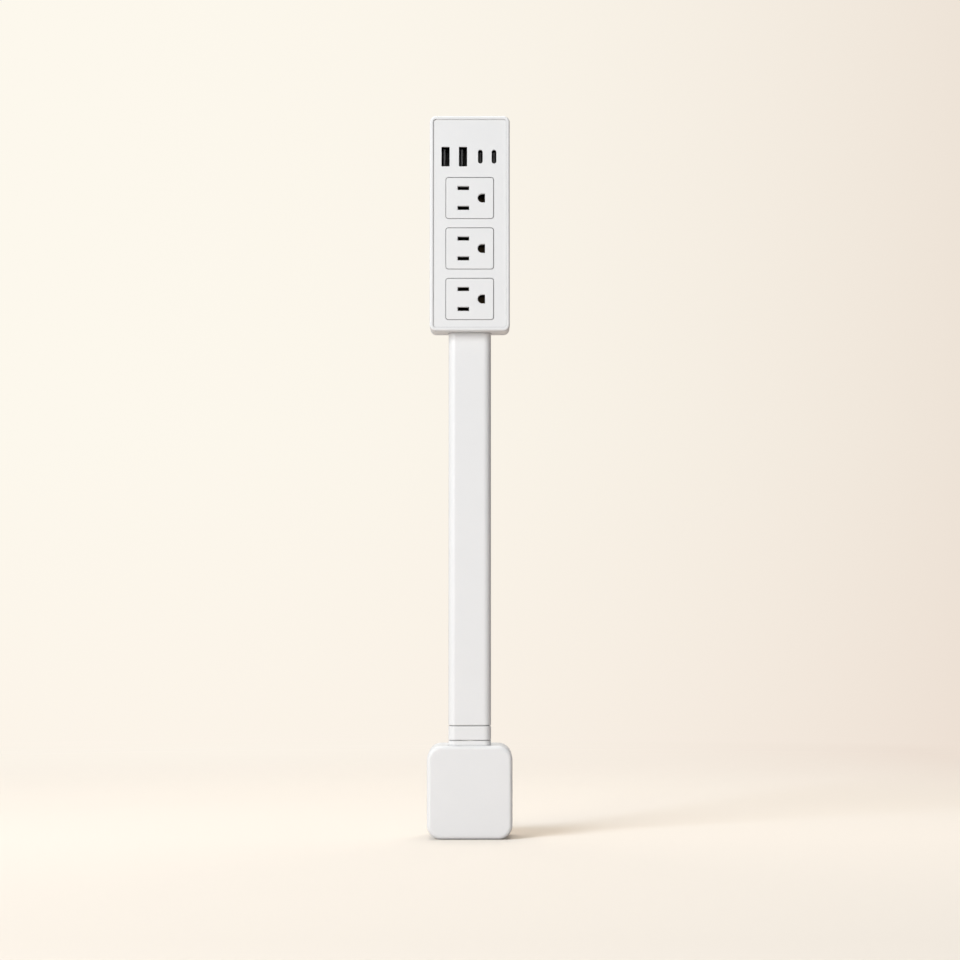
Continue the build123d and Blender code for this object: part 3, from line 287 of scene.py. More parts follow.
@dataclass(frozen=True)
class MouldedPlastic(Finish):
    """Injection-moulded plastic with a fine even grain.

    Attributes:
        mottle: how far the colour strays over a few centimetres.
        grain_size: width of one dimple of the mould's grain.
        grain_depth: depth of the dimples.
        edge_tone: tone of the edges against the rest.
        seam_shade_tone: tone of the painted shade deep in seams and inner corners.
        seam_shade_reach: how far out of them that painted shade reaches.
        gloss_spread: how far the roughness strays.
        sheen_level: how much of the surroundings it mirrors, where 0.5 is the shader's own.
    """

    mottle: float = 0.012
    grain_size: float = 0.00035
    grain_depth: float = 0.000004
    edge_tone: float = 1.015
    seam_shade_tone: float = 0.6
    seam_shade_reach: float = 0.0011
    gloss_spread: float = 0.05
    sheen_level: float = 0.3

    def dress(self, sheet: ShaderSheet) -> None:
        """Colour and gloss that stray a little, polished edges, painted shade in seams and corners, and a
        moulded grain.
        """
        body = sheet.tint(sheet.cloud(size=0.03), self.shade(1 - self.mottle), self.shade(1 + self.mottle))
        edged = sheet.tint(sheet.worn_edge(width=0.0004), body, self.shade(self.edge_tone))
        # painted shade: the colour darkens in seams, recesses and inner corners
        seam_shaded = sheet.tint(sheet.painted_seam_shade(self.seam_shade_reach), edged, self.shade(self.seam_shade_tone))
        sheet.coat(seam_shaded, sheet.cloud(size=0.012), self.stray(self.gloss_spread))
        sheet.shader.inputs["Specular IOR Level"].default_value = self.sheen_level
        sheet.relief(sheet.cloud(self.grain_size, detail=1.0), self.grain_depth)


@dataclass(frozen=True)
class WorkedMetal(Finish):
    """Rolled, stamped or turned metal with fine marks along one direction.

    Attributes:
        marks: the way that the marks run.
        mark_depth: their depth.
        tarnish: colour that dull patches turn to.
        tarnish_share: how much of the surface the patches take.
        glance: how bright it gets where it is seen at a glancing angle.
        edge_tone: tone of the worn edges against the rest.
    """

    marks: Grain = Grain.EVEN
    mark_depth: float = 0.000003
    tarnish: Colour = (0.2, 0.16, 0.1)
    tarnish_share: float = 0.25
    glance: float = 1.0
    edge_tone: float = 1.12

    def dress(self, sheet: ShaderSheet) -> None:
        """Bright metal with dull patches, worn edges and drawn marks."""
        sheet.shader.inputs["Metallic"].default_value = 1.0
        sheet.shader.inputs["Specular Tint"].default_value = (self.glance, self.glance, self.glance, 1.0)
        noise = sheet.cloud(size=0.004, detail=5.0)
        patches = sheet.span(noise, 0.0, self.tarnish_share, start=0.45, end=0.75)
        dulled = sheet.tint(patches, self.colour, self.tarnish)
        bright = sheet.tint(sheet.worn_edge(width=0.0002), dulled, self.shade(self.edge_tone))
        streaks = sheet.cloud(size=0.0004, detail=2.0, grain=self.marks)
        sheet.coat(bright, streaks, self.stray(below=0.07, above=0.1))
        sheet.relief(streaks, self.mark_depth)


@dataclass(frozen=True)
class PressedBoard(Finish):
    """Fibre sheet or circuit board, with a woven core that shows through.

    Attributes:
        thread: width of the weave.
        weave_tone: tone of the threads against the rest.
    """

    thread: float = 0.0007
    weave_tone: float = 0.82

    def dress(self, sheet: ShaderSheet) -> None:
        """Two crossed waves for the weave, over a cloudy colour."""
        bands = []
        for direction in ("X", "Z"):
            wave = sheet.add("ShaderNodeTexWave", bands_direction=direction)
            wave.inputs["Scale"].default_value = 1.0 / self.thread / BAND_WIDTH
            wave.inputs["Distortion"].default_value = 0.6
            sheet.join(sheet.place, wave.inputs["Vector"])
            bands.append(wave.outputs["Fac"])
        weave = sheet.combine("MULTIPLY", *bands)
        core = sheet.tint(sheet.cloud(size=0.01), self.shade(0.92), self.shade(1.06))
        threads = sheet.span(weave, 0.0, 0.5, start=0.0, end=1.0)
        woven = sheet.tint(threads, core, self.shade(self.weave_tone))
        sheet.coat(woven, sheet.cloud(size=0.006), self.stray(0.08))
        sheet.relief(weave, depth=0.00001)


@dataclass(frozen=True)
class WoundTape(Finish):
    """Tape wound in overlapping layers round a coil.

    Attributes:
        pitch: distance from one turn's edge to the next.
        edge_tone: tone of a turn's edge against the rest.
    """

    pitch: float = 0.0026
    edge_tone: float = 0.55

    def dress(self, sheet: ShaderSheet) -> None:
        """Turns of tape along Z, each with a darker edge."""
        wave = sheet.add("ShaderNodeTexWave", bands_direction="Z", wave_profile="SAW")
        wave.inputs["Scale"].default_value = 1.0 / self.pitch / BAND_WIDTH
        sheet.join(sheet.place, wave.inputs["Vector"])
        turns = wave.outputs["Fac"]
        edge = sheet.span(turns, 1.0, 0.0, start=0.0, end=0.12)
        body = sheet.tint(sheet.cloud(size=0.008), self.shade(0.93), self.shade(1.05))
        taped = sheet.tint(edge, body, self.shade(self.edge_tone))
        sheet.coat(taped, sheet.cloud(size=0.003), self.stray(below=0.05, above=0.1))
        sheet.relief(turns, depth=0.00003)


FINISHES: dict[str, Finish] = {finish.slot: finish for finish in (
    MouldedPlastic("housing_white", (0.80, 0.80, 0.795), 0.42),
    MouldedPlastic("face_white", (0.80, 0.80, 0.795), 0.38, grain_size=0.0003),
    MouldedPlastic("black_moulding", (0.015, 0.014, 0.014), 0.6, mottle=0.1, edge_tone=1.4),
    PressedBoard("fibre_board", (0.28, 0.2, 0.11), 0.7),
    # contact_brass: base colour darkened well past bare brass, partly tarnish and partly painted shade
    # standing for the shade inside the outlet slots
    WorkedMetal("contact_brass", (0.11, 0.085, 0.055), 0.45, marks=Grain.ALONG_Z,
                tarnish=(0.045, 0.038, 0.03)),
    WorkedMetal("plug_metal", (0.74, 0.69, 0.6), 0.26, marks=Grain.ALONG_Y, mark_depth=0.000001,
                tarnish=(0.5, 0.45, 0.37), tarnish_share=0.12),
    # port_steel: base colour and glancing tint darkened far past bare steel, painted shade standing for the
    # shade inside the sockets
    WorkedMetal("port_steel", (0.018, 0.018, 0.019), 0.5, marks=Grain.ALONG_Y, tarnish=(0.01, 0.01, 0.011),
                glance=0.1),
    MouldedPlastic("port_insulator", (0.17, 0.17, 0.175), 0.45, mottle=0.06, edge_tone=1.2),
    PressedBoard("circuit_board", (0.02, 0.11, 0.045), 0.4, weave_tone=0.88),
    MouldedPlastic("ferrite", (0.03, 0.03, 0.032), 0.62, mottle=0.2, grain_size=0.0002, edge_tone=1.9),
    WoundTape("winding_tape", (0.62, 0.47, 0.06), 0.4),
    MouldedPlastic("capacitor_sleeve", (0.02, 0.022, 0.05), 0.28, mottle=0.05, edge_tone=1.5),
    MouldedPlastic("chip_resin", (0.016, 0.016, 0.017), 0.55, mottle=0.1, grain_size=0.00015, edge_tone=1.6),
    MouldedPlastic("fuse_ceramic", (0.68, 0.65, 0.58), 0.45, mottle=0.04),
    MouldedPlastic("bearing_nylon", (0.62, 0.6, 0.54), 0.5, mottle=0.03),
    WorkedMetal("fastener_steel", (0.56, 0.56, 0.57), 0.26, tarnish=(0.3, 0.29, 0.27)),
    MouldedPlastic("line_insulation", (0.015, 0.015, 0.016), 0.42, mottle=0.08, edge_tone=1.2),
    MouldedPlastic("neutral_insulation", (0.74, 0.74, 0.72), 0.42, mottle=0.02),
    MouldedPlastic("ground_insulation", (0.02, 0.2, 0.05), 0.42, mottle=0.05),
)}


class Bench:
    """Modelling moves, as made by hand: one piece in hand and nothing else selected."""

    @staticmethod
    def clear() -> None:
        """Leaves edit mode and deselects everything."""
        if bpy.context.object and bpy.context.object.mode != "OBJECT":
            bpy.ops.object.mode_set(mode="OBJECT")
        bpy.ops.object.select_all(action="DESELECT")

    @staticmethod
    def take(piece: bpy.types.Object) -> None:
        """Selects one piece and makes it active."""
        Bench.clear()
        piece.select_set(True)
        bpy.context.view_layer.objects.active = piece

    @staticmethod
    def settle(name: str) -> bpy.types.Object:
        """Names the active piece and puts its place, turn and size into its mesh."""
        piece = bpy.context.object
        piece.name = name
        piece.data.name = name
        bpy.ops.object.transform_apply(location=True, rotation=True, scale=True)
        return piece

    @staticmethod
    def block(name: str, low: Point, high: Point) -> bpy.types.Object:
        """Starts a piece from a cube stretched between its lowest and its highest corner."""
        Bench.clear()
        middle = (Vector(low) + Vector(high)) / 2
        bpy.ops.mesh.primitive_cube_add(size=1.0, location=middle)
        bpy.context.object.scale = Vector(high) - Vector(low)
        return Bench.settle(name)

    @staticmethod
    def rod(name: str, middle: Point, radius: float, length: float, axis: Axis,
            sides: int = 32) -> bpy.types.Object:
        """Starts a piece from a cylinder.

        Args:
            name: the piece's name.
            middle: its centre.
            radius: its radius.
            length: its length along the axis.
            axis: the way that it stands.
            sides: how many sides it has.

        Returns:
            The piece.
        """
        Bench.clear()
        bpy.ops.mesh.primitive_cylinder_add(
            vertices=sides, radius=radius, depth=length, location=middle, rotation=axis.value
        )
        return Bench.settle(name)

    @staticmethod
    def faces(piece: bpy.types.Object, wanted: Callable[[bpy.types.MeshPolygon], bool]) -> None:
        """Opens a piece in edit mode, with only the wanted faces selected."""
        Bench.take(piece)
        mesh = piece.data
        for vertex in mesh.vertices:
            vertex.select = False
        for edge in mesh.edges:
            edge.select = False
        for polygon in mesh.polygons:
            polygon.select = wanted(polygon)
        bpy.context.tool_settings.mesh_select_mode = (False, False, True)
        bpy.ops.object.mode_set(mode="EDIT")

    @staticmethod
    def facing(piece: bpy.types.Object, way: Point) -> None:
        """Opens a piece in edit mode with the faces that look one way selected."""
        aim = Vector(way)
        Bench.faces(piece, lambda polygon: polygon.normal.dot(aim) > LOOKS_THAT_WAY)

    @staticmethod
    def close(piece: bpy.types.Object, width: float = 0.0, segments: int = 2) -> bpy.types.Object:
        """Softens a piece's edges, joins doubled corners and smooths its round sides.

        Args:
            piece: the piece in hand.
            width: width of the softened edges, or 0 for none.
            segments: how many steps each softened edge has.

        Returns:
            The piece.
        """
        Bench.take(piece)
        if width:
            bevel = piece.modifiers.new("soft_edges", "BEVEL")
            bevel.width = width
            bevel.segments = segments
            bevel.limit_method = "ANGLE"
            bevel.angle_limit = SOFTENED_FROM
            bpy.ops.object.modifier_apply(modifier=bevel.name)
        bpy.ops.object.mode_set(mode="EDIT")
        bpy.ops.mesh.select_all(action="SELECT")
        bpy.ops.mesh.remove_doubles(threshold=WELD)
        bpy.ops.mesh.dissolve_degenerate(threshold=WELD)
        bpy.ops.mesh.normals_make_consistent(inside=False)
        bpy.ops.object.mode_set(mode="OBJECT")
        bpy.ops.object.shade_smooth_by_angle(angle=SMOOTH_UP_TO)
        return piece

    @staticmethod
    def copies(piece: bpy.types.Object, shifts: Sequence[Point]) -> bpy.types.Object:
        """Copies a piece to each shift from where it is and joins the copies into it.

        Args:
            piece: the piece, which stays as the first.
            shifts: where the copies go, from the piece's own place.

        Returns:
            The joined piece.
        """
        made = []
        for shift in shifts:
            Bench.take(piece)
            bpy.ops.object.duplicate(linked=False)
            copy = bpy.context.object
            copy.location = shift
            bpy.ops.object.transform_apply(location=True, rotation=False, scale=False)
            made.append(copy)
        Bench.take(piece)
        for copy in made:
            copy.select_set(True)
        if made:
            bpy.ops.object.join()
        return bpy.context.object

    @staticmethod
    def paint(piece: bpy.types.Object, slot: str) -> None:
        """Puts the finish of a slot on a piece, in place of what it wears."""
        piece.data.materials.clear()
        piece.data.materials.append(FINISHES[slot].material())

    @staticmethod
    def finish(piece: bpy.types.Object, slot: str, body: str | None) -> bpy.types.Object:
        """Dresses a piece and lets it ride on a body.

        Args:
            piece: the piece.
            slot: the material slot of its finish.
            body: the body that carries it, or None for none.

        Returns:
            The piece.
        """
        Bench.paint(piece, slot)
        if body:
            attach(piece, body)
        log.info("%s: %d faces, finish %s", piece.name, len(piece.data.polygons), slot)
        return piece


class SubAssembly(ABC):
    """A group of pieces that are made and dressed together."""

    @abstractmethod
    def build(self) -> None:
        """Makes the group's own pieces and dresses its nodes."""

    @staticmethod
    def wear(slot: str, *names: str) -> None:
        """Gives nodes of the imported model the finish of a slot."""
        for name in names:
            Bench.paint(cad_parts[name], slot)
            log.info("%s: packed solid, finish %s", name, slot)


@dataclass
class HeadShells(SubAssembly):
    """The head's front shell, back cover and outlet faces."""

    def build(self) -> None:
        """Dresses the shells, the faces and the screws that close them."""
        self.wear("housing_white", "front_housing", "back_cover")
        self.wear("face_white", *[f"receptacle_face_{row}" for row in ("top", "middle", "bottom")])
        self.wear("fastener_steel", "head_screws")


@dataclass
class ContactStack(SubAssembly):
    """The dark carrier behind the faces, its brass bars and its back plate."""

    def build(self) -> None:
        """Dresses the carrier, the bars, the plate and their screws."""
        self.wear("black_moulding", "contact_carrier")
        self.wear("fibre_board", "insulator_plate")
        self.wear("contact_brass", "line_bus_bar", "neutral_bus_bar", "ground_bus_bar")
        self.wear("fastener_steel", "carrier_screws")


@dataclass
class UsbPorts(SubAssembly):
    """Four USB sockets, with the contact strips on their tongues.

    Attributes:
        strip_reach: how far back the strips run from near a tongue's front.
        wide_strip: height and thickness of a strip in the wide sockets.
        narrow_strip: the same in the narrow sockets.
        wide_rows: heights of the strips in a wide socket, from its middle.
        narrow_count: how many strips each side of a narrow tongue has.
        narrow_pitch: distance from one of them to the next.
        wide_tongue: thickness and height of a wide tongue.
        wide_shift: X of its middle from its socket's middle.
        body_depth: depth of the block that carries it.
        nose_length: length of a wide tongue's tapered nose.
        nose_share: share of the tongue's thickness that the nose keeps at its tip.
        nose_rise: share of its height that it keeps there.
        strip_gap: from the root of the nose to the strips.
        narrow_face: from a narrow socket's middle to its tongue's face.
    """

    strip_reach: float = 8.0 * MM
    wide_strip: tuple[float, float] = (1.0 * MM, 0.28 * MM)
    narrow_strip: tuple[float, float] = (0.26 * MM, 0.06 * MM)
    wide_rows: tuple[float, ...] = (-3.5 * MM, -1.0 * MM, 1.0 * MM, 3.5 * MM)
    narrow_count: int = 12
    narrow_pitch: float = 0.5 * MM
    wide_tongue: tuple[float, float] = (1.84 * MM, 11.1 * MM)
    wide_shift: float = -0.8 * MM
    body_depth: float = 2.5 * MM
    nose_length: float = 1.6 * MM
    nose_share: float = 0.5
    nose_rise: float = 0.94
    strip_gap: float = 0.2 * MM
    narrow_face: float = 0.35 * MM

    def tapered_tongue(self, place: int) -> None:
        """Makes the tongue of one wide socket, with a nose that tapers to its tip."""
        low, high = (Vector(corner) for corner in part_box(f"usb_a_tongue_{place}"))
        middle = (low + high) / 2
        root = high.y - self.body_depth
        body = Bench.block(f"usb_a_tapered_tongue_{place}", (low.x, root, low.z), tuple(high))
        centre = middle.x + self.wide_shift
        half, rise = self.wide_tongue[0] / 2, self.wide_tongue[1] / 2
        blade = Bench.block(
            "blade", (centre - half, low.y + self.nose_length, middle.z - rise),
            (centre + half, root, middle.z + rise),
        )
        Bench.facing(blade, (0.0, -1.0, 0.0))
        bpy.ops.mesh.extrude_region_move(TRANSFORM_OT_translate={"value": (0.0, -self.nose_length, 0.0)})
        bpy.ops.transform.resize(
            value=(self.nose_share, 1.0, self.nose_rise), center_override=(centre, low.y, middle.z)
        )
        Bench.take(body)
        blade.select_set(True)
        bpy.ops.object.join()
        piece = Bench.close(bpy.context.object, width=0.08 * MM)
        Bench.finish(piece, "port_insulator", "arm")
        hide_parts(f"usb_a_tongue_{place}")

    def strip(self, name: str, face_x: float, side: float, front: float, level: float,
              size: tuple[float, float]) -> bpy.types.Object:
        """One spring strip on a tongue's face, with a rounded lead-in at its front.

        Args:
            name: the strip's name.
            face_x: X of the tongue's face.
            side: 1 on the right of the tongue and -1 on its left.
            front: Y of its front end, without the lead-in.
            level: Z of its middle.
            size: its height and thickness.

        Returns:
            The strip.
        """
        tall, thick = size
        edges = sorted((face_x, face_x + side * thick))
        piece = Bench.block(
            name, (edges[0], front, level - tall / 2), (edges[1], front + self.strip_reach, level + tall / 2)
        )
        Bench.facing(piece, (0.0, -1.0, 0.0))
        lead, dip, tip = 2.5 * thick, side * thick * 0.45, (0.4, 1.0, 0.8)
        bpy.ops.mesh.extrude_region_move(TRANSFORM_OT_translate={"value": (0.0, -lead, 0.0)})
        bpy.ops.transform.translate(value=(-dip, 0.0, 0.0))
        bpy.ops.transform.resize(value=tip)
        return Bench.close(piece, width=thick * 0.2)

    def build(self) -> None:
        """Dresses the sockets and sets the strips on their tongues."""
        for kind in ("usb_a", "usb_c"):
            for place in (1, 2):
                shell, tongue = f"{kind}_shell_{place}", f"{kind}_tongue_{place}"
                self.wear("port_steel", shell)
                if kind == "usb_a":
                    self.tapered_tongue(place)
                else:
                    self.wear("port_insulator", tongue)
                self.lay_strips(kind, place, tongue)

    def lay_strips(self, kind: str, place: int, tongue: str) -> None:
        """Sets the strips of one socket.

        Args:
            kind: usb_a or usb_c.
            place: the socket's number among its kind.
            tongue: the tongue's node.
        """
        shell_low, shell_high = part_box(f"{kind}_shell_{place}")
        middle = (shell_low[2] + shell_high[2]) / 2
        centre = (shell_low[0] + shell_high[0]) / 2
        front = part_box(tongue)[0][1] + self.nose_length + self.strip_gap
        if kind == "usb_a":
            right = centre + self.wide_shift + self.wide_tongue[0] / 2
            first = self.strip(f"{kind}_strips_{place}", right, 1, front, middle + self.wide_rows[0],
                               self.wide_strip)
            shifts = [(0.0, 0.0, row - self.wide_rows[0]) for row in self.wide_rows[1:]]
            Bench.finish(Bench.copies(first, shifts), "contact_brass", "arm")
            return
        lowest = -(self.narrow_count - 1) / 2 * self.narrow_pitch
        shifts = [(0.0, 0.0, step * self.narrow_pitch) for step in range(1, self.narrow_count)]
        for side, word in ((-1, "left"), (1, "right")):
            first = self.strip(f"{kind}_strips_{word}_{place}", centre + side * self.narrow_face, side,
                               front, middle + lowest, self.narrow_strip)
            Bench.finish(Bench.copies(first, shifts), "contact_brass", "arm")


@dataclass
class SupplyBoard(SubAssembly):
    """The board that feeds the USB sockets, with the small metal of its components.

    Attributes:
        cap_length: length of each metal cap of the fuse.
        cap_hollow: depth of the hollow in a cap's end, and width of its softened edges.
        can_rim: how far a capacitor's sleeve reaches over its bare top.
        pin_radius: radius of the soldered pins.
        port_pins: height of a socket's first pin and distance to the next, in millimetres.
        core_pins: the same under the transformer.
        core_edge: how far its pins stand in from its sides.
    """

    cap_length: float = 1.5 * MM
    cap_hollow: float = 0.12 * MM
    can_rim: float = 0.5 * MM
    pin_radius: float = 0.35 * MM
    port_pins: tuple[float, float] = (2.8, 2.3)
    core_pins: tuple[float, float] = (2.5, 4.0)
    core_edge: float = 1.5 * MM

    def build(self) -> None:
        """Dresses the board and its components, and makes their small metal."""
        self.wear("circuit_board", "usb_board")
        self.wear("ferrite", "transformer_core")
        self.wear("winding_tape", "transformer_winding")
        self.wear("capacitor_sleeve", "bulk_capacitor", "output_capacitor")
        self.wear("chip_resin", "board_chips")
        self.wear("fuse_ceramic", "board_fuse")
        self.wear("fastener_steel", "board_screws")
        self.fuse_caps()
        for name in ("bulk_capacitor", "output_capacitor"):
            self.can_top(name)
        self.solder_joints()

    def fuse_caps(self) -> None:
        """Two drawn caps over the fuse's ends."""
        low, high = (Vector(corner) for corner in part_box("board_fuse"))
        middle = (low + high) / 2
        radius = (high.z - low.z) / 2 + 0.1 * MM
        for word, edge in (("left", low.x + self.cap_length / 2), ("right", high.x - self.cap_length / 2)):
            cap = Bench.rod(f"fuse_cap_{word}", (edge, middle.y, middle.z), radius, self.cap_length, Axis.X)
            outward = (-1.0, 0.0, 0.0) if word == "left" else (1.0, 0.0, 0.0)
            Bench.facing(cap, outward)
            bpy.ops.mesh.inset(thickness=radius * 0.3, depth=self.cap_hollow)
            Bench.finish(Bench.close(cap, self.cap_hollow), "port_steel", "arm")

    def can_top(self, name: str) -> None:
        """Makes the bare metal top of one capacitor, with its scored cross."""
        low, high = (Vector(corner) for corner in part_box(name))
        middle = (low + high) / 2
        radius = (high.x - low.x) / 2 - self.can_rim
        place = (middle.x, low.y - 0.05 * MM, middle.z)
        top = Bench.rod(f"{name}_top", place, radius, length=0.16 * MM, axis=Axis.Y, sides=48)
        Bench.facing(top, (0.0, -1.0, 0.0))
        bpy.ops.mesh.inset(thickness=radius * 0.14, depth=0.0)
        bpy.ops.transform.translate(value=(0.0, 0.06 * MM, 0.0))
        reach, half, depth = radius * 0.62, 0.1 * MM, 0.04 * MM
        for turn in (0.0, math.pi / 2):
            score = Bench.block(
                "score", (middle.x - reach, low.y - 1.0 * MM, middle.z - half),
                (middle.x + reach, low.y - depth, middle.z + half),
            )
            Bench.facing(score, (0.0, 1.0, 0.0))
            bpy.ops.transform.resize(value=(1.0, 1.0, 0.2))
            bpy.ops.mesh.select_all(action="SELECT")
            if turn:
                bpy.ops.transform.rotate(value=turn, orient_axis="Y", center_override=middle)
            Bench.take(top)
            cut = top.modifiers.new("score", "BOOLEAN")
            cut.operation = "DIFFERENCE"
            cut.object = score
            bpy.ops.object.modifier_apply(modifier=cut.name)
            bpy.data.objects.remove(score)
        Bench.finish(Bench.close(top), "port_steel", "arm")

    def solder_joints(self) -> None:
        """Rows of soldered pins on the board's back, under the sockets and the transformer."""
        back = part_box("usb_board")[1][1]
        joint = Bench.rod("solder_joints", (0.0, back + 0.3 * MM, 0.0), radius=0.75 * MM, length=0.6 * MM,
                          axis=Axis.Y, sides=16)
        Bench.facing(joint, (0.0, 1.0, 0.0))
        bpy.ops.transform.resize(value=(0.75, 1.0, 0.75))
        bpy.ops.mesh.inset(thickness=self.pin_radius * 0.5, depth=0.0)
        bpy.ops.mesh.extrude_region_move(TRANSFORM_OT_translate={"value": (0.0, 0.35 * MM, 0.0)})
        bpy.ops.transform.resize(value=(0.6, 1.0, 0.6))
        Bench.close(joint)
        spots = []
        first_pin, next_pin = self.port_pins
        for place in (1, 2):
            low, high = (Vector(corner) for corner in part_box(f"usb_a_shell_{place}"))
            for step in range(4):
                spots.append(((low.x + high.x) / 2, 0.0, low.z + (first_pin + next_pin * step) * MM))
        low, high = (Vector(corner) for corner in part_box("transformer_core"))
        first_pin, next_pin = self.core_pins
        for step in range(3):
            for edge in (low.x + self.core_edge, high.x - self.core_edge):
                spots.append((edge, 0.0, low.z + (first_pin + next_pin * step) * MM))
        Bench.take(joint)
        joint.location = spots[0]
        bpy.ops.object.transform_apply(location=True, rotation=False, scale=False)
        first = Vector(spots[0])
        joined = Bench.copies(joint, [tuple(Vector(spot) - first) for spot in spots[1:]])
        Bench.finish(joined, "port_steel", "arm")


@dataclass
class StemAndNeck(SubAssembly):
    """The tall flat stem and the collar and bearing that it swivels on."""

    def build(self) -> None:
        """Dresses the stem, the collar, the bearing and the screws."""
        self.wear("housing_white", "stem_tube", "neck_collar")
        self.wear("bearing_nylon", "swivel_bush", "thrust_washer")
        self.wear("fastener_steel", "spring_washer", "stop_washer", "retaining_nut", "stem_screws")


@dataclass
class PlugBase(SubAssembly):
    """The plug base: housing, rear cover, blades, pin and their holder."""

    def build(self) -> None:
        """Dresses the base's pieces."""
        self.wear("housing_white", "base_housing", "base_rear_cover")
        self.wear("plug_metal", "line_blade", "neutral_blade", "ground_pin")
        self.wear("black_moulding", "blade_holder")
        self.wear("contact_brass", "blade_crimps")
        self.wear("fastener_steel", "base_screws", "holder_screws")


@dataclass
class Wiring(SubAssembly):
    """Three mains wires through the neck and stem, and two thin ones to the board.

    Attributes:
        radius: radius of a mains wire.
        twist_from: height below which a wire would stay with the base; not used.
        twist_to: height above which it would go with the stem; not used.
        neck_y: Y of the neck's axis; not used.
        step: longest stretch between two rings of a wire.
    """

    radius: float = 1.45 * MM
    twist_from: float = 11.9 * MM
    twist_to: float = 59.6 * MM
    neck_y: float = -28.0 * MM
    step: float = 3.0 * MM

    def routes(self) -> dict[str, list[Point]]:
        """Corner points of each mains wire, in millimetres, from its crimp to its bar."""
        spread, axis_y, low, top = 1.75, -28.0, 11.9, 59.6
        crimp_y, back_y, rise = -13.6, -45.0 + 19.1 + 1.45, 15.0
        foot, stem, head = 42.1, 249.3, 291.4
        tails = {"line": (6.35, 5.0, 7.0), "neutral": (-6.35, 5.0, 7.0), "ground": (0.0, -6.9, 8.5)}
        bars = {"line": 2.3, "neutral": -10.2, "ground": 7.9}
        angles = {"line": -30.0, "neutral": 210.0, "ground": 90.0}
        slack = {"line": (0.6, -2.7), "neutral": (0.9, -1.4), "ground": (-0.7, 0.6)}
        made = {}
        for name, (tail_x, tail_z, lead) in tails.items():
            turn = math.radians(angles[name])
            bore = (spread * math.cos(turn), axis_y + spread * math.sin(turn))
            sway_x, sway_y = slack[name]
            middle_y = (bore[1] + back_y) / 2
            made[name] = [
                (tail_x, crimp_y, tail_z), (tail_x, crimp_y - lead, tail_z), (*bore, low), (*bore, top),
                (bars[name] + sway_x, middle_y + sway_y, foot + 0.3 * stem),
                (bars[name] + sway_x / 2, middle_y - sway_y / 2, foot + 0.62 * stem),
                (bars[name], back_y, head - 0.1 * stem), (bars[name], back_y, head + rise),
            ]
        return made

    def smooth_route(self, corners: Sequence[Point]) -> list[Vector]:
        """Rounds a route's corners and cuts its runs into short steps.

        Args:
            corners: the route's corner points, in millimetres.

        Returns:
            Points along the route, in metres.
        """
        bend_steps, shortest = 8, 0.02 * MM
        points = [Vector(corner) * MM for corner in corners]
        track = [points[0]]
        for before, corner, after in zip(points, points[1:], points[2:]):
            inward, outward = before - corner, after - corner
            reach = 0.45 * min(inward.length, outward.length)
            start, end = corner + inward.normalized() * reach, corner + outward.normalized() * reach
            for part in range(bend_steps + 1):
                share = part / bend_steps
                track.append(start.lerp(corner, share).lerp(corner.lerp(end, share), share))
        track.append(points[-1])
        fine = [track[0]]
        for point in track[1:]:
            gap = (point - fine[-1]).length
            if gap < shortest:
                continue
            count = max(1, math.ceil(gap / self.step))
            origin = fine[-1].copy()
            fine += [origin.lerp(point, part / count) for part in range(1, count + 1)]
        return fine

    def wire(self, name: str, track: Sequence[Vector], radius: float) -> bpy.types.Object:
        """A round wire along a track, closed at both ends.

        Args:
            name: the wire's name.
            track: points along its middle.
            radius: its radius.

        Returns:
            The wire.
        """
        Bench.clear()
        bpy.ops.curve.primitive_nurbs_path_add(location=(0.0, 0.0, 0.0))
        path = bpy.context.object
        path.name = name
        path.data.splines.clear()
        spline = path.data.splines.new("POLY")
        spline.points.add(len(track) - 1)
        for point, place in zip(spline.points, track):
            point.co = (*place, 1.0)
        path.data.dimensions = "3D"
        path.data.bevel_depth = radius
        path.data.bevel_resolution = 4
        path.data.use_fill_caps = True
        Bench.take(path)
        bpy.ops.object.convert(target="MESH")
        made = bpy.context.object
        made.data.name = name
        return Bench.close(made)

    def build(self) -> None:
        """Makes the mains wires and dresses the thin ones."""
        for name, corners in self.routes().items():
            piece = self.wire(f"{name}_wire_run", self.smooth_route(corners), self.radius)
            Bench.finish(piece, f"{name}_insulation", None)
            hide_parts(f"{name}_wire")
            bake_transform(piece)
        self.wear("line_insulation", "usb_line_feed")
        self.wear("neutral_insulation", "usb_neutral_feed")


@dataclass(frozen=True)
class SoftBox:
    """A square studio lamp.

    Attributes:
        name: the lamp's name.
        place: where it stands.
        target: the point that it faces.
        size: length of its side.
        power: its power in watts.
        colour: colour of its light.
        floor_only: whether it lights the floor alone.
    """

    name: str
    place: Point
    target: Point
    size: float
    power: float
    colour: Colour = (1.0, 1.0, 1.0)
    floor_only: bool = False

    def light(self, floor: bpy.types.Collection) -> None:
        """Puts the lamp in the scene. The collection given holds the floor alone."""
        Bench.clear()
        bpy.ops.object.light_add(type="AREA", location=self.place)
        lamp = bpy.context.object
        lamp.name = self.name
        lamp.data.shape = "SQUARE"
        lamp.data.size = self.size
        lamp.data.energy = self.power
        lamp.data.color = self.colour
        aim = Vector(self.target) - Vector(self.place)
        lamp.rotation_euler = aim.to_track_quat("-Z", "Y").to_euler()
        if self.floor_only:
            lamp.light_linking.receiver_collection = floor


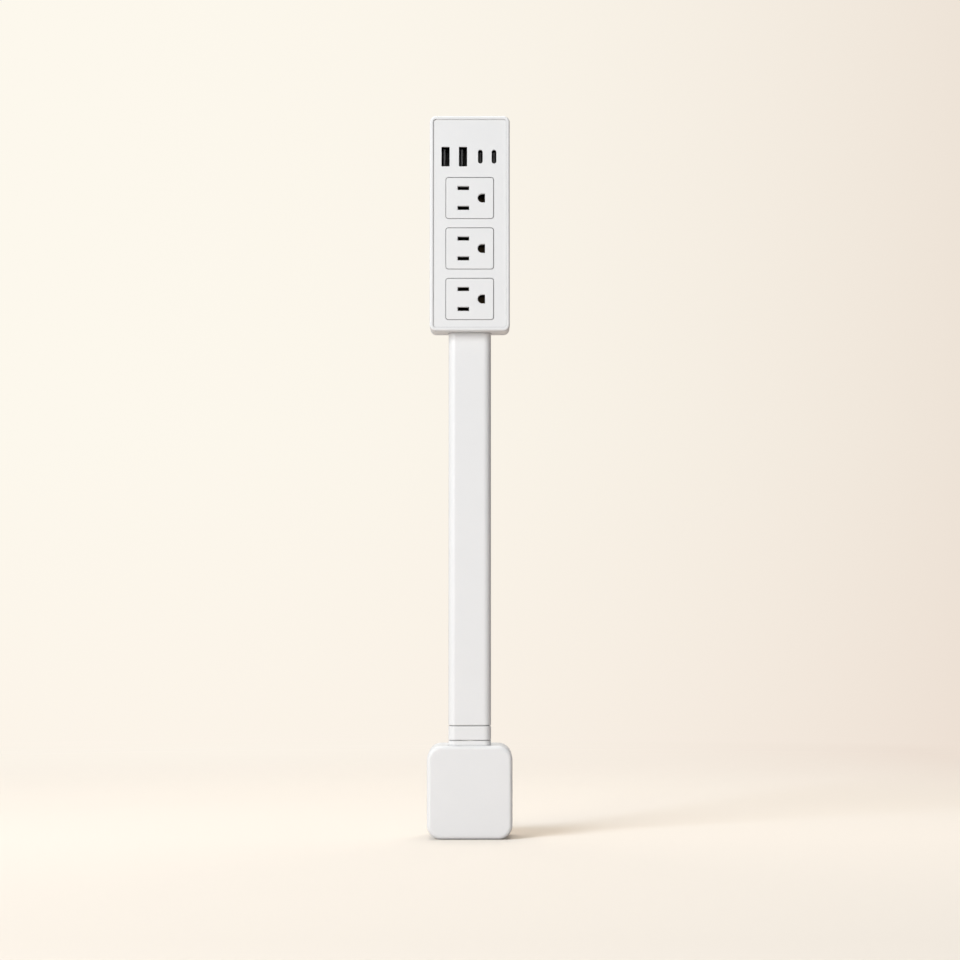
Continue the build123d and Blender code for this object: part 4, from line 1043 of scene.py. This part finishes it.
@dataclass
class Studio:
    """Pale floor that fades into a cream backdrop, soft lamps and the camera.

    Attributes:
        floor_colour: colour of the floor.
        floor_front: tone of the floor towards the camera, where the key lamp is near.
        front_from: Y where that tone begins.
        front_to: Y where it is full.
        floor_bounce: colour that the floor gives back to the object.
        floor_lift: share of the floor that the camera sees as plain backdrop.
        wall_left: colour of the backdrop on the left.
        wall_right: the same on the right.
        fall_power: how late the backdrop's colour turns from left to right.
        low_tint: what the backdrop's colour is multiplied by near the floor.
        low_from: height of the view where that tint begins, as a share of its length.
        low_to: height where it is full.
        ambient_left: strength of the even light from the left.
        ambient_right: the same from the right.
        ambient_colour: its colour.
        dim_left: what the reflected backdrop falls to on the left.
        dim_right: the same on the right.
        dim_span: how far to the side it begins to fall, and where it has fallen.
        fade_from: distance from the floor's middle where it starts to fade.
        fade_to: distance where it has the backdrop's colour.
        rim: distance where it ends, quite clear.
        floor_middle: the floor's middle, in front of the object.
        camera_place: where the camera stands.
        camera_rise: how far it looks up, in degrees.
        lens: its focal length in millimetres.
        lamps: the lamps.
    """

    floor_colour: Colour = (0.62, 0.523, 0.418)
    floor_front: float = 0.88
    front_from: float = -0.02
    front_to: float = -0.5
    floor_bounce: Colour = (0.365, 0.295, 0.24)
    floor_lift: float = 0.12
    wall_left: Colour = (0.982, 0.939, 0.847)
    wall_right: Colour = (0.847, 0.762, 0.673)
    fall_power: float = 2.3
    low_tint: Colour = (0.993, 0.97, 0.968)
    low_from: float = 0.07
    low_to: float = -0.05
    ambient_left: float = 0.33
    ambient_right: float = 0.2
    ambient_colour: Colour = (0.935, 0.96, 1.0)
    dim_left: float = 0.35
    dim_right: float = 0.25
    dim_span: tuple[float, float] = (0.05, 0.7)
    fade_from: float = 0.4
    fade_to: float = 1.05
    rim: float = 1.25
    floor_middle: tuple[float, float] = (0.0, -0.1)
    camera_place: Point = (0.0065, -1.5822, 0.118805)
    camera_rise: float = 2.9058
    lens: float = 91.5
    lamps: tuple[SoftBox, ...] = (
        SoftBox("key_lamp", (-1.02, -1.55, 0.71), (0.0, 0.0, 0.25), 1.0, 32.2, (0.98, 0.99, 1.0)),
        SoftBox("top_lamp", (0.0, 0.45, 1.8), (0.0, 0.1, 0.0), 1.5, 22.0),
        SoftBox("floor_lamp", (-4.6, -4.7, 4.8), (0.0, 0.0, 0.0), 3.0, 770.0, (0.5, 0.71, 1.0), True),
    )

    def fall(self, sheet: NodeSheet, source: Socket, reach: float, height: Socket | None = None) -> Socket:
        """The backdrop's colour, which turns slowly from left to right and is warmer low down.

        Args:
            sheet: the node tree to build in.
            source: a value that grows from left to right.
            reach: the value at the picture's right edge.
            height: a value that grows upwards, or None for the colour near the floor.

        Returns:
            The colour.
        """
        across = sheet.combine("POWER", sheet.span(source, 0.0, 1.0, -reach, reach), self.fall_power)
        drop = sheet.span(height, 1.0, 0.0, self.low_to, self.low_from) if height else 1.0
        wall = sheet.tint(across, self.wall_left, self.wall_right)
        return sheet.tint(drop, wall, self.low_tint, "MULTIPLY")

    def ring(self, sheet: ShaderSheet, start: float, end: float, low: float = 0.0) -> Socket:
        """Value that rises smoothly from low to 1 between two distances from the floor's middle."""
        far = sheet.add("ShaderNodeVectorMath", operation="DISTANCE")
        far.inputs[1].default_value = (*self.floor_middle, cad_box[0].z)
        sheet.join(sheet.place, far.inputs[0])
        return sheet.span(far.outputs["Value"], low, 1.0, start, end, "SMOOTHSTEP")

    def floor(self) -> bpy.types.Collection:
        """Lays the floor just under the object, fades it out all round and clears its underside.

        Returns:
            A collection that holds the floor alone.
        """
        Bench.clear()
        bpy.ops.mesh.primitive_circle_add(
            vertices=96, radius=self.rim, fill_type="NGON",
            location=(*self.floor_middle, cad_box[0].z - 0.0001),
        )
        disc = Bench.settle("studio_floor")
        sheet = ShaderSheet("studio_floor")
        sheet.shader.inputs["Roughness"].default_value = 0.9
        sheet.shader.inputs["Specular IOR Level"].default_value = 0.1
        split = sheet.add("ShaderNodeSeparateXYZ")
        sheet.join(sheet.place, split.inputs[0])
        plain = sheet.add("ShaderNodeEmission")
        sheet.join(self.fall(sheet, split.outputs["X"], reach=0.45), plain.inputs["Color"])
        seen = sheet.seen()
        near = sheet.span(split.outputs["Y"], 1.0, 0.0, self.front_to, self.front_from)
        front_colour = tuple(part * self.floor_front for part in self.floor_colour)
        laid = sheet.tint(seen, self.floor_bounce, sheet.tint(near, self.floor_colour, front_colour))
        sheet.join(laid, sheet.shader.inputs["Base Color"])
        lifted = self.ring(sheet, self.fade_from, self.fade_to, self.floor_lift)
        lift = sheet.combine("MULTIPLY", seen, lifted)
        ground = sheet.layer(lift, sheet.shader.outputs[0], plain.outputs[0])
        fade = sheet.add("ShaderNodeMix", data_type="FLOAT")
        sheet.join(seen, fade.inputs[0])
        sheet.join(self.ring(sheet, self.fade_from, self.fade_to), fade.inputs[2])
        sheet.join(self.ring(sheet, self.fade_to, self.rim), fade.inputs[3])
        below = sheet.add("ShaderNodeNewGeometry").outputs["Backfacing"]
        clear = sheet.combine("MAXIMUM", fade.outputs[0], below)
        faded = sheet.layer(clear, ground, sheet.add("ShaderNodeBsdfTransparent").outputs[0])
        sheet.join(faded, sheet.tree.nodes["Material Output"].inputs["Surface"])
        sheet.material.cycles.emission_sampling = "NONE"
        disc.data.materials.append(sheet.material)
        alone = bpy.data.collections.new("floor_alone")
        alone.objects.link(disc)
        return alone

    def surround(self) -> None:
        """Cream backdrop for the camera and for reflections, and soft light for the rest."""
        world = bpy.data.worlds.new("studio")
        bpy.context.scene.world = world
        world.use_nodes = True
        sheet = NodeSheet(world.node_tree, "Generated")
        nodes = sheet.tree.nodes
        split = sheet.add("ShaderNodeSeparateXYZ")
        sheet.join(sheet.place, split.inputs[0])
        across = split.outputs["X"]
        light = nodes["Background"]
        sheet.join(self.ambient_colour, light.inputs["Color"])
        side = sheet.span(across, self.ambient_left, self.ambient_right, -1.0, 1.0)
        sheet.join(side, light.inputs["Strength"])
        backdrop = self.fall(sheet, across, reach=0.2, height=split.outputs["Z"])
        shown, mirrored = sheet.add("ShaderNodeBackground"), sheet.add("ShaderNodeBackground")
        for back in (shown, mirrored):
            sheet.join(backdrop, back.inputs["Color"])
        start, end = self.dim_span
        right = sheet.span(across, 1.0, self.dim_right, start, end)
        left = sheet.span(across, 1.0, self.dim_left, -start, -end)
        sheet.join(sheet.combine("MULTIPLY", right, left), mirrored.inputs["Strength"])
        glossy = sheet.add("ShaderNodeLightPath").outputs["Is Glossy Ray"]
        reflected = sheet.layer(glossy, light.outputs[0], mirrored.outputs[0])
        chosen = sheet.layer(sheet.seen(), reflected, shown.outputs[0])
        sheet.join(chosen, nodes["World Output"].inputs["Surface"])

    def camera(self) -> None:
        """Puts the camera at the photograph's viewing angle."""
        Bench.clear()
        bpy.ops.object.camera_add(
            location=self.camera_place, rotation=(math.radians(90 + self.camera_rise), 0.0, 0.0)
        )
        view = bpy.context.object
        view.name = "front_camera"
        view.data.lens = self.lens
        view.data.sensor_width = 36.0
        view.data.clip_start, view.data.clip_end = 0.05, 20.0
        bpy.context.scene.camera = view
        bpy.context.scene.view_settings.view_transform = "Standard"

    def build(self) -> None:
        """Sets up the whole studio."""
        ground = self.floor()
        self.surround()
        for lamp in self.lamps:
            lamp.light(ground)
        self.camera()


def main() -> None:
    """Builds and dresses the sub-assemblies in order, then the studio."""
    logging.basicConfig(level=logging.INFO, format="%(name)s %(message)s", stream=sys.stdout)
    for kind in (HeadShells, ContactStack, UsbPorts, SupplyBoard, StemAndNeck, PlugBase, Wiring):
        log.info("building %s", kind.__name__)
        kind().build()
    Studio().build()
    Bench.clear()


if __name__ == "__main__":
    main()
